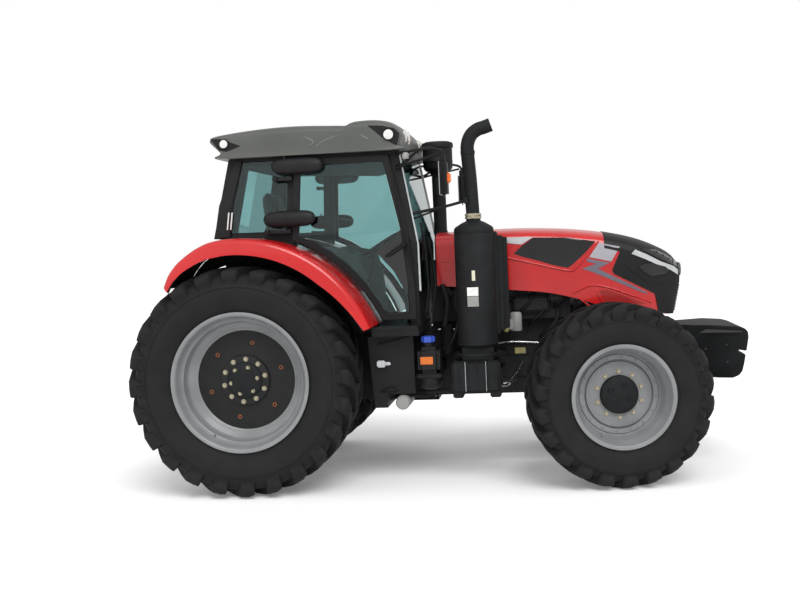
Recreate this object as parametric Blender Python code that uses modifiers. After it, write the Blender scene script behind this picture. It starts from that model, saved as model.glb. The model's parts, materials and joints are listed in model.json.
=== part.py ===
"""Row-crop farm tractor, four-wheel drive, with a cab and a rear three-point hitch.

Metres, +X forward, +Y to the tractor's left, +Z up.  Every x below counts from the rear
axle; the empty "tractor" carries the whole machine, so that the origin lies on the ground
under the middle of its length.
"""
import math

import bmesh
import bpy
from mathutils import Matrix, Vector

for thing in list(bpy.data.objects):
    bpy.data.objects.remove(thing)

# ---------------------------------------------------------------- driving sizes
GAP = 0.0003                 # between pieces that touch
PIN_GAP = 0.0006             # around a pin in its bore, and between turning faces
RUN = 0.006                  # between pieces that pass each other

WHEELBASE = 2.908
ROUND = 32                   # sides of a wheel

REAR_AXLE_Z = 0.920          # axle height, the tyre standing on one flat of its tread
REAR_TYRE_Y = 0.965          # middle of the tyre from the tractor's middle
REAR_TYRE_WIDTH = 0.645
REAR_BEAD = 0.5334           # radius of the rim where the tyre sits, 42 inch
REAR_RIM_WIDTH = 0.540

FRONT_AXLE_Z = 0.713
KINGPIN_Y = 0.706
FRONT_TYRE_OUT = 0.200       # middle of the tyre outside the kingpin
FRONT_TYRE_WIDTH = 0.540
FRONT_BEAD = 0.381           # 30 inch
FRONT_RIM_WIDTH = 0.480
REST_STEER = math.radians(9.2)   # the wheels are parked turned a little to the left

FENDER_R = 1.135             # outside of the rear mudguards about the rear axle
FENDER_WALL = 0.030
DOOR_R = 1.170               # lower edge of the doors about the rear axle
FENDER_IN = 0.620            # mudguard's inner and outer edge from the middle
FENDER_OUT = 1.260

NOSE_REACH = 4.040           # front of the weight from the rear axle
HITCH_REACH = 1.160          # back of the lower links from the rear axle

LEFT, RIGHT = 1, -1
SIDE_NAME = {LEFT: "left", RIGHT: "right"}

# ---------------------------------------------------------------- colours
# name: (red, green, blue, alpha), roughness, metallic
COLOURS = {
    "red_paint": ((0.62, 0.035, 0.025, 1), 0.30, 0.0),
    "black_paint": ((0.018, 0.019, 0.020, 1), 0.45, 0.0),
    "cast_iron": ((0.045, 0.046, 0.048, 1), 0.60, 0.3),
    "roof_paint": ((0.075, 0.080, 0.072, 1), 0.40, 0.0),
    "rim_paint": ((0.36, 0.37, 0.38, 1), 0.40, 0.2),
    "tyre": ((0.020, 0.020, 0.020, 1), 0.85, 0.0),
    "glass": ((0.30, 0.48, 0.47, 0.35), 0.05, 0.0),
    "plastic": ((0.030, 0.030, 0.032, 1), 0.55, 0.0),
    "fabric": ((0.060, 0.062, 0.066, 1), 0.90, 0.0),
    "steel": ((0.45, 0.45, 0.45, 1), 0.35, 0.9),
}


def material(name):
    """The Principled material of that name, made on first use."""
    found = bpy.data.materials.get(name)
    if found:
        return found
    colour, roughness, metallic = COLOURS[name]
    made = bpy.data.materials.new(name)
    made.use_nodes = True
    shader = made.node_tree.nodes["Principled BSDF"]
    shader.inputs["Base Color"].default_value = colour
    shader.inputs["Roughness"].default_value = roughness
    shader.inputs["Metallic"].default_value = metallic
    shader.inputs["Alpha"].default_value = colour[3]
    return made


collection = bpy.data.collections.new("farm_tractor")
bpy.context.scene.collection.children.link(collection)


def empty(name, place, parent=None):
    made = bpy.data.objects.new(name, None)
    made.location = place
    made.parent = parent
    collection.objects.link(made)
    return made


CENTRE_X = (NOSE_REACH - HITCH_REACH) / 2
tractor = empty("tractor", (-CENTRE_X, 0, 0))


# ---------------------------------------------------------------- shapes
def solid(mesh):
    """An unnamed piece from a mesh, at the tractor's rear axle frame."""
    made = bpy.data.objects.new("piece", mesh)
    collection.objects.link(made)
    return made


def box(low, high):
    """A block between two corners."""
    work = bmesh.new()
    bmesh.ops.create_cube(work, size=1.0)
    size = Vector(high) - Vector(low)
    middle = (Vector(high) + Vector(low)) / 2
    bmesh.ops.scale(work, vec=size, verts=work.verts)
    bmesh.ops.translate(work, vec=middle, verts=work.verts)
    mesh = bpy.data.meshes.new("box")
    work.to_mesh(mesh)
    work.free()
    return solid(mesh)


def rod(start, end, radius, sides=16):
    """A round bar from start to end."""
    start, end = Vector(start), Vector(end)
    along = end - start
    work = bmesh.new()
    bmesh.ops.create_cone(work, cap_ends=True, segments=sides, radius1=radius,
                          radius2=radius, depth=along.length)
    turn = along.to_track_quat("Z", "Y").to_matrix().to_4x4()
    bmesh.ops.transform(work, matrix=Matrix.Translation((start + end) / 2) @ turn,
                        verts=work.verts)
    mesh = bpy.data.meshes.new("rod")
    work.to_mesh(mesh)
    work.free()
    return solid(mesh)


def as_mesh(source):
    """Replace a curve or a piece with modifiers by its plain mesh."""
    view = bpy.context.evaluated_depsgraph_get()
    view.update()
    mesh = bpy.data.meshes.new_from_object(source.evaluated_get(view))
    work = bmesh.new()
    work.from_mesh(mesh)
    bmesh.ops.remove_doubles(work, verts=work.verts, dist=0.00001)
    bmesh.ops.transform(work, matrix=source.matrix_world, verts=work.verts)
    work.to_mesh(mesh)
    work.free()
    bpy.data.objects.remove(source)
    return solid(mesh)


def pipe(points, radius, sides=2):
    """A bent round tube or bar along points."""
    curve = bpy.data.curves.new("pipe", "CURVE")
    curve.dimensions = "3D"
    curve.bevel_depth = radius
    curve.bevel_resolution = sides
    curve.use_fill_caps = True
    spline = curve.splines.new("POLY")
    spline.points.add(len(points) - 1)
    for point, place in zip(spline.points, points):
        point.co = (*place, 1)
    made = bpy.data.objects.new("pipe", curve)
    collection.objects.link(made)
    return as_mesh(made)


def plate(outlines, thickness, frame):
    """A flat plate with the given outlines (the first is the edge, the rest are holes).

    frame maps the outline's plane to the tractor: outline x, outline y, and the plate's
    thickness, which is centred on the plane.
    """
    curve = bpy.data.curves.new("plate", "CURVE")
    curve.dimensions = "2D"
    curve.fill_mode = "BOTH"
    curve.extrude = thickness / 2
    for outline in outlines:
        spline = curve.splines.new("POLY")
        spline.points.add(len(outline) - 1)
        for point, (across, up) in zip(spline.points, outline):
            point.co = (across, up, 0, 1)
        spline.use_cyclic_u = True
    made = bpy.data.objects.new("plate", curve)
    collection.objects.link(made)
    piece = as_mesh(made)
    piece.data.transform(frame)
    return piece


def side_plate(outline, low_y, high_y):
    """A block whose side view is outline, a list of (x, z), from low_y to high_y."""
    middle = (low_y + high_y) / 2
    upright = Matrix.Translation((0, middle, 0)) @ Matrix.Rotation(math.pi / 2, 4, "X")
    return plate([outline], high_y - low_y, upright)


def turned(profile, sides, axis="Z", place=(0, 0, 0)):
    """A body of revolution; profile runs down its outer side as (radius, along).

    The first side faces down, so that a wheel stands on a flat.
    """
    start = math.pi / sides
    work = bmesh.new()
    verts = [work.verts.new((r * math.cos(start), r * math.sin(start), along))
             for r, along in profile]
    for one, two in zip(verts, verts[1:]):
        work.edges.new((one, two))
    if profile[0][0] > 0:
        work.edges.new((verts[-1], verts[0]))
    mesh = bpy.data.meshes.new("turned")
    work.to_mesh(mesh)
    work.free()
    made = solid(mesh)
    screw = made.modifiers.new("Screw", "SCREW")
    screw.steps = sides
    screw.render_steps = sides
    screw.use_merge_vertices = True
    screw.merge_threshold = 0.0001
    piece = as_mesh(made)
    turn = {"Z": Matrix.Identity(4), "-Y": Matrix.Rotation(math.pi / 2, 4, "X"),
            "+Y": Matrix.Rotation(-math.pi / 2, 4, "X")}[axis]
    piece.data.transform(Matrix.Translation(place) @ turn)
    return piece


def combine(first, others, operation):
    """first with the others joined to it or cut from it, one after another."""
    for other in others:
        step = first.modifiers.new("step", "BOOLEAN")
        step.operation = operation
        step.solver = "EXACT"
        step.object = other
        first = as_mesh(first)
        bpy.data.objects.remove(other)
    return first


def join(first, *others):
    return combine(first, others, "UNION")


def cut(first, *others):
    return combine(first, others, "DIFFERENCE")


def shell(stations, thickness, close_front):
    """A hood skin lofted through stations (x, half width, bottom, shoulder, top).

    It is open below and behind; its wall grows inwards.
    """
    work = bmesh.new()
    rings = []
    for x, half, bottom, shoulder, top in stations:
        edge = top - (top - shoulder) * 0.30
        half_ring = [(half, bottom), (half, shoulder), (half * 0.78, edge)]
        ring = [(x, -y, z) for y, z in half_ring] + [(x, 0, top)]
        ring += [(x, y, z) for y, z in reversed(half_ring)]
        rings.append([work.verts.new(place) for place in ring])
    for one, two in zip(rings, rings[1:]):
        for k in range(len(one) - 1):
            work.faces.new((one[k], one[k + 1], two[k + 1], two[k]))
    if close_front:
        work.faces.new(rings[-1])
    bmesh.ops.recalc_face_normals(work, faces=work.faces)
    mesh = bpy.data.meshes.new("shell")
    work.to_mesh(mesh)
    work.free()
    made = solid(mesh)
    wall = made.modifiers.new("Solidify", "SOLIDIFY")
    wall.thickness = thickness
    wall.offset = 0
    wall.use_even_offset = True
    return as_mesh(made)


def arc(radius, start, end, steps, centre=(0, REAR_AXLE_Z)):
    """Points of an arc in side view, angles in degrees from straight ahead."""
    points = []
    for k in range(steps + 1):
        angle = math.radians(start + (end - start) * k / steps)
        points.append((centre[0] + radius * math.cos(angle),
                       centre[1] + radius * math.sin(angle)))
    return points


def panel_frame(foot, ahead, above):
    """Frame of a flat panel: x from foot to ahead, y towards above, z its normal."""
    foot, ahead, above = Vector(foot), Vector(ahead), Vector(above)
    x_dir = (ahead - foot).normalized()
    normal = x_dir.cross(above - foot).normalized()
    y_dir = normal.cross(x_dir)
    turn = Matrix((x_dir, y_dir, normal)).transposed().to_4x4()
    return Matrix.Translation(foot) @ turn


def inset(outline, margin):
    """A convex outline moved in by margin."""
    count = len(outline)
    area = sum(outline[k][0] * outline[(k + 1) % count][1]
               - outline[(k + 1) % count][0] * outline[k][1] for k in range(count))
    sign = 1 if area > 0 else -1
    edges = []
    for k in range(count):
        here, there = Vector(outline[k]), Vector(outline[(k + 1) % count])
        along = (there - here).normalized()
        inward = Vector((-along.y, along.x)) * sign
        edges.append((here + inward * margin, along))
    moved = []
    for k in range(count):
        (p, d), (q, e) = edges[k - 1], edges[k]
        cross = d.x * e.y - d.y * e.x
        if abs(cross) < 1e-6:
            moved.append(tuple(q))
            continue
        reach = ((q.x - p.x) * e.y - (q.y - p.y) * e.x) / cross
        moved.append(tuple(p + d * reach))
    return moved


def place(piece, name, colour, parent=None, origin=(0, 0, 0)):
    """Name a finished piece, paint it, set its origin and hang it on its parent."""
    piece.name = name
    piece.data.name = name
    piece.data.materials.clear()
    piece.data.materials.append(material(colour))
    piece.data.transform(Matrix.Translation(-Vector(origin)))
    piece.location = origin
    piece.parent = parent or tractor
    piece.data.set_sharp_from_angle(angle=math.radians(35))
    return piece


# ---------------------------------------------------------------- wheels
def wheel_profiles(height, width, bead, rim_width, disc, hub_in, bore):
    """Profiles of a tyre and its rim, (radius, outward) from the tyre's middle."""
    tread = height / math.cos(math.pi / ROUND)
    half, rim_half = width / 2, rim_width / 2
    seat = bead + GAP
    lip = rim_half - 0.018
    side = bead + (tread - bead) * 0.50
    tyre_outer = [(seat, lip), (bead + 0.028, lip), (side, half),
                  (tread * 0.985, half * 0.92), (tread, half * 0.76)]
    tyre_inner = [(seat, lip - 0.050), (side, half - 0.035),
                  (tread - 0.075, half * 0.74)]
    tyre = tyre_outer + [(r, -along) for r, along in reversed(tyre_outer)]
    tyre += [(r, -along) for r, along in tyre_inner]
    tyre += list(reversed(tyre_inner))
    flange = bead + 0.0254
    well = bead - 0.045
    wall = 0.014
    spigot = bore + PIN_GAP
    hub = bore + 0.115
    rim = [(0, disc + 0.055), (hub, disc + 0.055), (hub, disc), (well - wall, disc),
           (bead - wall, rim_half - 0.09), (bead - wall, rim_half),
           (flange, rim_half), (flange, lip + GAP), (bead, lip + GAP),
           (bead, lip - 0.055), (well, lip - 0.10), (well, 0.10 - lip),
           (bead, 0.055 - lip), (bead, -lip - GAP), (flange, -lip - GAP),
           (flange, -rim_half), (bead - wall, -rim_half), (bead - wall, 0.09 - rim_half),
           (well - wall, disc - 0.020), (hub, disc - 0.020), (hub, hub_in),
           (spigot, hub_in), (spigot, disc - 0.01), (0, disc - 0.01)]
    return tyre, rim


REAR_DISC = 0.070            # wheel disc outside the middle of the tyre
REAR_STUB = 0.075            # radius of the axle end in the rear hub
REAR_HUB_Y = 0.700           # inner face of the rear hub
FRONT_DISC = 0.020
FRONT_STUB = 0.060
FRONT_HUB_OUT = 0.110        # inner face of the front hub outside the kingpin

rear_tyre, rear_rim = wheel_profiles(REAR_AXLE_Z, REAR_TYRE_WIDTH, REAR_BEAD,
                                     REAR_RIM_WIDTH, REAR_DISC,
                                     REAR_HUB_Y - REAR_TYRE_Y, REAR_STUB)
front_tyre, front_rim = wheel_profiles(FRONT_AXLE_Z, FRONT_TYRE_WIDTH, FRONT_BEAD,
                                       FRONT_RIM_WIDTH, FRONT_DISC,
                                       FRONT_HUB_OUT - FRONT_TYRE_OUT, FRONT_STUB)


def wheel(side, end, tyre, rim, centre, carrier):
    outward = "+Y" if side == LEFT else "-Y"
    name = f"{end}_{SIDE_NAME[side]}"
    place(turned(tyre, ROUND, outward, centre), "tyre_" + name, "tyre", carrier, centre)
    place(turned(rim, ROUND, outward, centre), "rim_" + name, "rim_paint", carrier,
          centre)


for side in (LEFT, RIGHT):
    wheel(side, "rear", rear_tyre, rear_rim, (0, side * REAR_TYRE_Y, REAR_AXLE_Z),
          tractor)

# ---------------------------------------------------------------- driveline and axles
BODY_HALF = 0.190            # half width of the castings between the front wheels
ENGINE_BACK = 1.440
ENGINE_FRONT = 2.620
ENGINE_TOP = 1.800
SUMP_Z = 0.640
BEAM_TOP = 0.800             # top of the front axle beam, under its support

AXLE_CASE_FRONT = 0.340
AXLE_CASE_HALF = 0.320
AXLE_CASE_LOW = 0.600
ROCKSHAFT = (-0.380, 1.270)  # x and z of the shaft that lifts the rear hitch
ROCKSHAFT_R = 0.045
LINK_PIVOT = (-0.150, 0.680)  # x and z of the lower links' pins
LINK_PIN_R = 0.024
LINK_IN = 0.330              # inner face of a lower link
LINK_OUT = 0.385
TOP_PIVOT = (-0.510, 1.060)
TOP_PIN_R = 0.014
TOP_HALF = 0.028
PTO_Z = 0.780
rear_axle = join(
    box((-0.330, -AXLE_CASE_HALF, AXLE_CASE_LOW), (AXLE_CASE_FRONT, AXLE_CASE_HALF, 1.220)),
    rod((0, -REAR_HUB_Y + RUN, REAR_AXLE_Z), (0, REAR_HUB_Y - RUN, REAR_AXLE_Z), 0.180),
    box((-0.470, -0.240, 0.980), (-0.300, 0.240, 1.350)),
    rod((-0.460, 0, PTO_Z), (-0.320, 0, PTO_Z), 0.030),
    rod((LINK_PIVOT[0], -LINK_OUT - 0.020, LINK_PIVOT[1]),
        (LINK_PIVOT[0], LINK_OUT + 0.020, LINK_PIVOT[1]), LINK_PIN_R),
)
for side in (LEFT, RIGHT):
    low_y, high_y = sorted((side * (TOP_HALF + RUN), side * (TOP_HALF + RUN + 0.020)))
    rear_axle = join(rear_axle, box((TOP_PIVOT[0] - 0.035, low_y, TOP_PIVOT[1] - 0.035),
                                    (-0.460, high_y, TOP_PIVOT[1] + 0.035)))
rear_axle = join(rear_axle, rod((TOP_PIVOT[0], -0.050, TOP_PIVOT[1]),
                                (TOP_PIVOT[0], 0.050, TOP_PIVOT[1]), TOP_PIN_R))
rear_axle = cut(rear_axle, rod((ROCKSHAFT[0], -0.300, ROCKSHAFT[1]),
                               (ROCKSHAFT[0], 0.300, ROCKSHAFT[1]),
                               ROCKSHAFT_R * 1.020 + PIN_GAP))
spindle_end = REAR_TYRE_Y + REAR_DISC - 0.015
spindle = turned([(0, spindle_end), (REAR_STUB, spindle_end), (REAR_STUB, -spindle_end),
                  (0, -spindle_end)], ROUND, "+Y", (0, 0, REAR_AXLE_Z))
place(join(rear_axle, spindle), "rear_axle", "cast_iron")

place(box((AXLE_CASE_FRONT + GAP, -0.220, 0.620), (ENGINE_BACK - GAP, 0.220, 1.180)),
      "transmission", "cast_iron")

# The bonnet turns on a cross tube that lies in two cradles on the engine.
BONNET_PIVOT = (1.525, 0, 1.970)
BONNET_TUBE = 0.018
px, _, pz = BONNET_PIVOT
ears = [box((px - 0.028, side * 0.230 - 0.015, ENGINE_TOP - 0.020),
            (px + 0.028, side * 0.230 + 0.015, pz)) for side in (LEFT, RIGHT)]
engine = join(
    box((ENGINE_BACK, -BODY_HALF, SUMP_Z), (ENGINE_FRONT, BODY_HALF, 1.300)),
    box((ENGINE_BACK + 0.010, -0.300, 1.280), (ENGINE_FRONT - 0.005, 0.300, ENGINE_TOP)),
    *ears,
)
engine = cut(engine, rod((px, -0.300, pz), (px, 0.300, pz), BONNET_TUBE + PIN_GAP))
place(engine, "engine_block", "cast_iron")

SUPPORT_FRONT = 3.440
front_support = join(
    box((ENGINE_FRONT + GAP, -BODY_HALF, BEAM_TOP + GAP),
        (SUPPORT_FRONT, BODY_HALF, 1.200)),
    box((ENGINE_FRONT + 0.150, -0.300, 1.180), (3.120, 0.300, 1.740)),
)
place(front_support, "front_support", "cast_iron")

weight_outline = [(3.460, 0.760), (3.860, 0.735), (3.930, 0.760), (NOSE_REACH - 0.005,
                  0.980), (NOSE_REACH, 1.080), (NOSE_REACH - 0.060, 1.160),
                  (3.460, 1.180)]
front_weight = side_plate(weight_outline, -0.420, 0.420)
corners = []
for side in (LEFT, RIGHT):
    corner = plate([[(3.400, side * 0.185), (3.810, side * 0.440), (3.400, side * 0.440)]],
                   1.0, Matrix.Translation((0, 0, 1.0)))
    corners.append(corner)
neck = box((SUPPORT_FRONT + GAP, -BODY_HALF, 0.820), (3.480, BODY_HALF, 1.120))
place(join(cut(front_weight, *corners), neck), "front_weight", "black_paint")

# Front axle: a beam under the support, with the steering cylinder behind it.
CYLINDER_X = WHEELBASE - 0.200
CYLINDER_Z = 0.640
ROD_R = 0.022
beam = box((WHEELBASE - 0.110, -BODY_HALF, 0.600), (WHEELBASE + 0.110, BODY_HALF,
                                                   BEAM_TOP))
arms = box((WHEELBASE - 0.070, -KINGPIN_Y, 0.630), (WHEELBASE + 0.070, KINGPIN_Y, 0.770))
bosses = [rod((WHEELBASE, side * KINGPIN_Y, 0.610), (WHEELBASE, side * KINGPIN_Y, 0.800),
              0.070) for side in (LEFT, RIGHT)]
barrel = rod((CYLINDER_X, -0.260, CYLINDER_Z), (CYLINDER_X, 0.260, CYLINDER_Z), 0.045)
cradle = box((CYLINDER_X - 0.020, -0.100, CYLINDER_Z - 0.030),
             (WHEELBASE - 0.100, 0.100, CYLINDER_Z + 0.060))
KINGPIN_R = 0.028
bores = [rod((CYLINDER_X, -0.300, CYLINDER_Z), (CYLINDER_X, 0.300, CYLINDER_Z),
             ROD_R + PIN_GAP)]
for side in (LEFT, RIGHT):
    y = side * KINGPIN_Y
    bores.append(rod((WHEELBASE, y, 0.560), (WHEELBASE, y, 0.840), KINGPIN_R + PIN_GAP))
place(cut(join(beam, arms, *bosses, barrel, cradle), *bores), "front_axle", "cast_iron")

ROD_HALF = KINGPIN_Y + 0.030
rod_shift = -0.200 * math.sin(REST_STEER)
place(rod((CYLINDER_X, rod_shift - ROD_HALF, CYLINDER_Z),
          (CYLINDER_X, rod_shift + ROD_HALF, CYLINDER_Z), ROD_R),
      "steering_rod", "steel", tractor, (CYLINDER_X, rod_shift, CYLINDER_Z))

for side in (LEFT, RIGHT):
    pivot = (WHEELBASE, side * KINGPIN_Y, FRONT_AXLE_Z)
    turntable = empty("kingpin_" + SIDE_NAME[side], pivot, tractor)
    turntable.rotation_euler = (0, 0, REST_STEER)
    up, down = 0.800 + PIN_GAP - FRONT_AXLE_Z, 0.610 - PIN_GAP - FRONT_AXLE_Z
    face = side * (FRONT_HUB_OUT - RUN)
    back = side * 0.080
    knuckle = join(
        rod((0, 0, up), (0, 0, up + 0.055), 0.085),
        rod((0, 0, down - 0.055), (0, 0, down), 0.085),
        rod((0, 0, down - 0.030), (0, 0, up + 0.030), KINGPIN_R),
        rod((0, back, 0), (0, face, 0), 0.165),
        rod((0, side * 0.090, 0), (0, side * (FRONT_TYRE_OUT + FRONT_DISC - 0.015), 0),
            FRONT_STUB, ROUND),
    )
    for z in (up, down - 0.055):
        low_y, high_y = sorted((0, side * 0.090))
        knuckle = join(knuckle, box((-0.060, low_y, z), (0.060, high_y, z + 0.055)))
    # The steering arm reaches back under the cylinder's rod.
    arm_top = CYLINDER_Z - ROD_R - RUN - FRONT_AXLE_Z
    knuckle = join(knuckle, box((-0.225, -0.035, down - 0.052),
                                (0, 0.035, min(arm_top, down - 0.012))))
    place(knuckle, "knuckle_" + SIDE_NAME[side], "cast_iron", turntable)
    wheel(side, "front", front_tyre, front_rim, (0, side * FRONT_TYRE_OUT, 0), turntable)

# ---------------------------------------------------------------- cab
CAB_FLOOR_Z = 1.280
FLOOR_THICK = 0.060
WAIST_Z = 2.030              # height at which the cab's sides have their stated width
SIDE_OUT = 0.860             # outer face of the posts at the waist
SIDE_LEAN = 0.0875           # the sides lean in towards the roof, metres per metre
ROOF_Z = 2.700               # underside of the roof
TUB_HALF = 0.590             # outer face of the wheelhouse walls
TUB_BACK = -0.240
SILL_X = 1.020               # where the floor widens in front of the rear tyres
SCREEN_LOW_X = 1.400
SCREEN_Z = 1.560             # lower edge of the windscreen
PANE = 0.008

RAIL_Z = 2.640               # underside of the rail that the roof stands on
WAIST_GAP = 0.004            # between the mudguard and the side frame's lower edge


def lean(piece):
    """Shear a piece of the cab so that both sides lean in above the waist."""
    for vertex in piece.data.vertices:
        inward = SIDE_LEAN * (vertex.co.z - WAIST_Z)
        vertex.co.y -= math.copysign(inward, vertex.co.y)
    return piece


def beside(side, inner, outer):
    """The low and high y of something between two distances from the middle."""
    return sorted((side * inner, side * outer))


floor_half = SIDE_OUT + SIDE_LEAN * (WAIST_Z - CAB_FLOOR_Z)
floor_low = CAB_FLOOR_Z - FLOOR_THICK
tub_in = TUB_HALF - 0.010
floor_edge = [(TUB_BACK, -tub_in), (SILL_X, -tub_in), (SILL_X, -floor_half),
              (SCREEN_LOW_X, -floor_half), (SCREEN_LOW_X, floor_half),
              (SILL_X, floor_half), (SILL_X, tub_in), (TUB_BACK, tub_in)]
floor_middle = Matrix.Translation((0, 0, CAB_FLOOR_Z - FLOOR_THICK / 2))
tub_parts = [
    plate([floor_edge], FLOOR_THICK, floor_middle),
    box((TUB_BACK + 0.004, -tub_in + 0.004, floor_low + 0.012),
        (TUB_BACK + 0.050, tub_in - 0.004, 2.070 - GAP)),
    box((SCREEN_LOW_X - 0.025, -0.720, floor_low + 0.012), (SCREEN_LOW_X - 0.005, 0.720,
                                                            SCREEN_Z)),
    box((TUB_BACK + 0.008, -tub_in + 0.008, floor_low + 0.016), (0.560, tub_in - 0.008,
                                                                 1.560)),
]
for side in (LEFT, RIGHT):
    outline = [(TUB_BACK, floor_low + 0.010), (1.040, floor_low + 0.010)]
    outline += arc(FENDER_R - FENDER_WALL, 20, 103, 8)
    tub_parts.append(side_plate(outline, *beside(side, TUB_HALF - 0.030, TUB_HALF)))
    for x, z in ((-0.180, 1.220), (1.200, 1.180)):
        low_y, high_y = beside(side, 0.130, 0.210)
        tub_parts.append(box((x - 0.050, low_y, z + GAP),
                             (x + 0.050, high_y, floor_low + 0.010)))
place(join(*tub_parts), "cab_floor", "black_paint")

# The doors turn on an axis that leans forwards and inwards, so that they lift a little.
HINGE_X = 0.197              # at the waist
HINGE_Y = 0.936
HINGE_LEAN = 0.178
HINGES = (2.196, 2.620)      # height of the middle of each hinge pod
POD_HALF = 0.060
BARREL_R = 0.022
DOOR_GAP = 0.006
DOOR_THICK = 0.030
DOOR_REAR = 0.402
door_face = SIDE_OUT + DOOR_GAP + DOOR_THICK


def on_hinge(side, z):
    return Vector((HINGE_X + HINGE_LEAN * (z - WAIST_Z),
                   side * (HINGE_Y - SIDE_LEAN * (z - WAIST_Z)), z))


# Each side frame is one plate: front post, door opening, middle post, quarter window
# opening, rear post and the rail above them.
waist_arc = arc(FENDER_R + WAIST_GAP, 97, 68, 4)
side_edge = [(1.330, CAB_FLOOR_Z + GAP), (SCREEN_LOW_X, CAB_FLOOR_Z + GAP),
             (SCREEN_LOW_X + 0.005, 1.950), (1.275, ROOF_Z), (-0.110, ROOF_Z),
             (-0.250, 2.060)]
side_edge += waist_arc + [(0.455, RAIL_Z), (1.178, RAIL_Z), (1.300, 2.050)]
quarter_hole = [(-0.070, 2.100), (0.340, 2.100), (0.365, RAIL_Z), (0.040, RAIL_Z)]
side_middle = SIDE_OUT - 0.035
frame_parts = []
for side in (LEFT, RIGHT):
    upright = Matrix.Translation((0, side * side_middle, 0)) @ Matrix.Rotation(math.pi / 2,
                                                                               4, "X")
    frame_parts.append(plate([side_edge, quarter_hole], 0.070, upright))
frame_parts += [
    box((1.190, -0.810, RAIL_Z + 0.005), (1.265, 0.810, ROOF_Z - 0.004)),
    box((-0.090, -0.810, RAIL_Z + 0.005), (-0.030, 0.810, ROOF_Z - 0.004)),
    box((-0.235, -0.810, 2.070), (-0.180, 0.810, 2.110)),
]
cab_frame = lean(join(*frame_parts))
for side in (LEFT, RIGHT):
    for z in HINGES:
        top = on_hinge(side, z - POD_HALF - 0.020 - PIN_GAP)
        foot = on_hinge(side, z - POD_HALF - 0.055)
        inner = SIDE_OUT - SIDE_LEAN * (top.z - WAIST_Z) - 0.010
        post_x = 0.366 + 0.050 * (z - WAIST_Z)
        low_y, high_y = beside(side, inner, inner + 0.045)
        root = box((post_x, low_y, foot.z), (post_x + 0.028, high_y, top.z - 0.005))
        low_y, high_y = beside(side, inner + 0.024, abs(top.y))
        strap = box((top.x - 0.012, low_y, foot.z), (post_x + 0.028, high_y, top.z - 0.005))
        cab_frame = join(cab_frame, root, strap, rod(foot, top, BARREL_R))
place(cab_frame, "cab_frame", "black_paint")

roof_outline = [(-0.110, ROOF_Z + GAP), (1.265, ROOF_Z + GAP), (1.305, 2.790),
                (1.270, 2.900), (1.150, 2.985), (0.780, 2.990), (0.100, 2.965),
                (-0.230, 2.915), (-0.250, 2.860), (-0.140, 2.760)]
ROOF_HALF = 0.900
roof = side_plate(roof_outline, -ROOF_HALF, ROOF_HALF)
soften = roof.modifiers.new("Bevel", "BEVEL")
soften.width = 0.070
soften.segments = 1
soften.limit_method = "ANGLE"
soften.angle_limit = math.radians(85)
roof = as_mesh(roof)
place(roof, "cab_roof", "roof_paint")


def screen(path, outward, half):
    """A pane that follows a path in side view, outward of it, from side to side."""
    near = [(x + outward * GAP * 2, z) for x, z in path]
    far = [(x + outward * (GAP * 2 + PANE), z) for x, z in reversed(path)]
    return lean(side_plate(near + far, -half, half))


front_path = [(SCREEN_LOW_X + 0.0025, SCREEN_Z), (SCREEN_LOW_X + 0.005, 1.950),
              (1.275, ROOF_Z)]
place(screen(front_path, 1, SIDE_OUT - 0.010), "windscreen", "glass")
place(screen([(-0.250, 2.060), (-0.110, ROOF_Z)], -1, SIDE_OUT - 0.010),
      "rear_window", "glass")

for side in (LEFT, RIGHT):
    name = SIDE_NAME[side]
    quarter = [(-0.180, 2.100), (0.345, 2.100), (0.385, ROOF_Z - 0.030),
               (-0.070, ROOF_Z - 0.030)]
    pane = side_plate(quarter, *beside(side, SIDE_OUT + GAP, SIDE_OUT + GAP + PANE))
    place(lean(pane), "quarter_window_" + name, "glass")

    edge = [(1.100, 1.345), (1.380, 1.345), (1.380, 1.620), (1.340, 2.080),
            (1.205, ROOF_Z - 0.025), (DOOR_REAR + 0.035, ROOF_Z - 0.025)]
    start = math.degrees(math.acos(DOOR_REAR / DOOR_R))
    low = math.degrees(math.acos(1.100 / DOOR_R))
    edge = arc(DOOR_R, start, low, 6)[:-1] + edge
    window = inset(edge, 0.060)
    middle = SIDE_OUT + DOOR_GAP + DOOR_THICK / 2
    upright = Matrix.Translation((0, side * middle, 0)) @ Matrix.Rotation(math.pi / 2, 4,
                                                                          "X")
    door = plate([edge, window], DOOR_THICK, upright)
    for z in HINGES:
        x = HINGE_X + HINGE_LEAN * (z - WAIST_Z)
        low_y, high_y = beside(side, door_face - 0.010, door_face + 0.062)
        door = join(door, box((x - 0.028, low_y, z - POD_HALF),
                              (x + 0.370, high_y, z + POD_HALF)))
    door = lean(door)
    for z in HINGES:
        door = join(door, rod(on_hinge(side, z - POD_HALF - 0.020), on_hinge(side, z),
                              BARREL_R))
    hinge = empty("door_hinge_" + name, on_hinge(side, WAIST_Z), tractor)
    shift = -on_hinge(side, WAIST_Z)
    door.data.transform(Matrix.Translation(shift))
    place(door, "door_" + name, "black_paint", hinge)
    glass = lean(plate([inset(edge, 0.060 + GAP)], PANE, upright))
    glass.data.transform(Matrix.Translation(shift))
    place(glass, "door_glass_" + name, "glass", hinge)

# ---------------------------------------------------------------- inside the cab
column_foot, column_head = Vector((1.300, 0, 1.500)), Vector((1.045, 0, 1.940))
column_dir = (column_head - column_foot).normalized()
dash = side_plate([(1.373, CAB_FLOOR_Z + GAP), (1.373, 1.800), (1.260, 1.860),
                   (1.180, 1.700), (1.220, CAB_FLOOR_Z + GAP)], -0.170, 0.170)
place(join(dash, rod(column_foot, column_head, 0.040)), "dashboard", "plastic")

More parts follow.
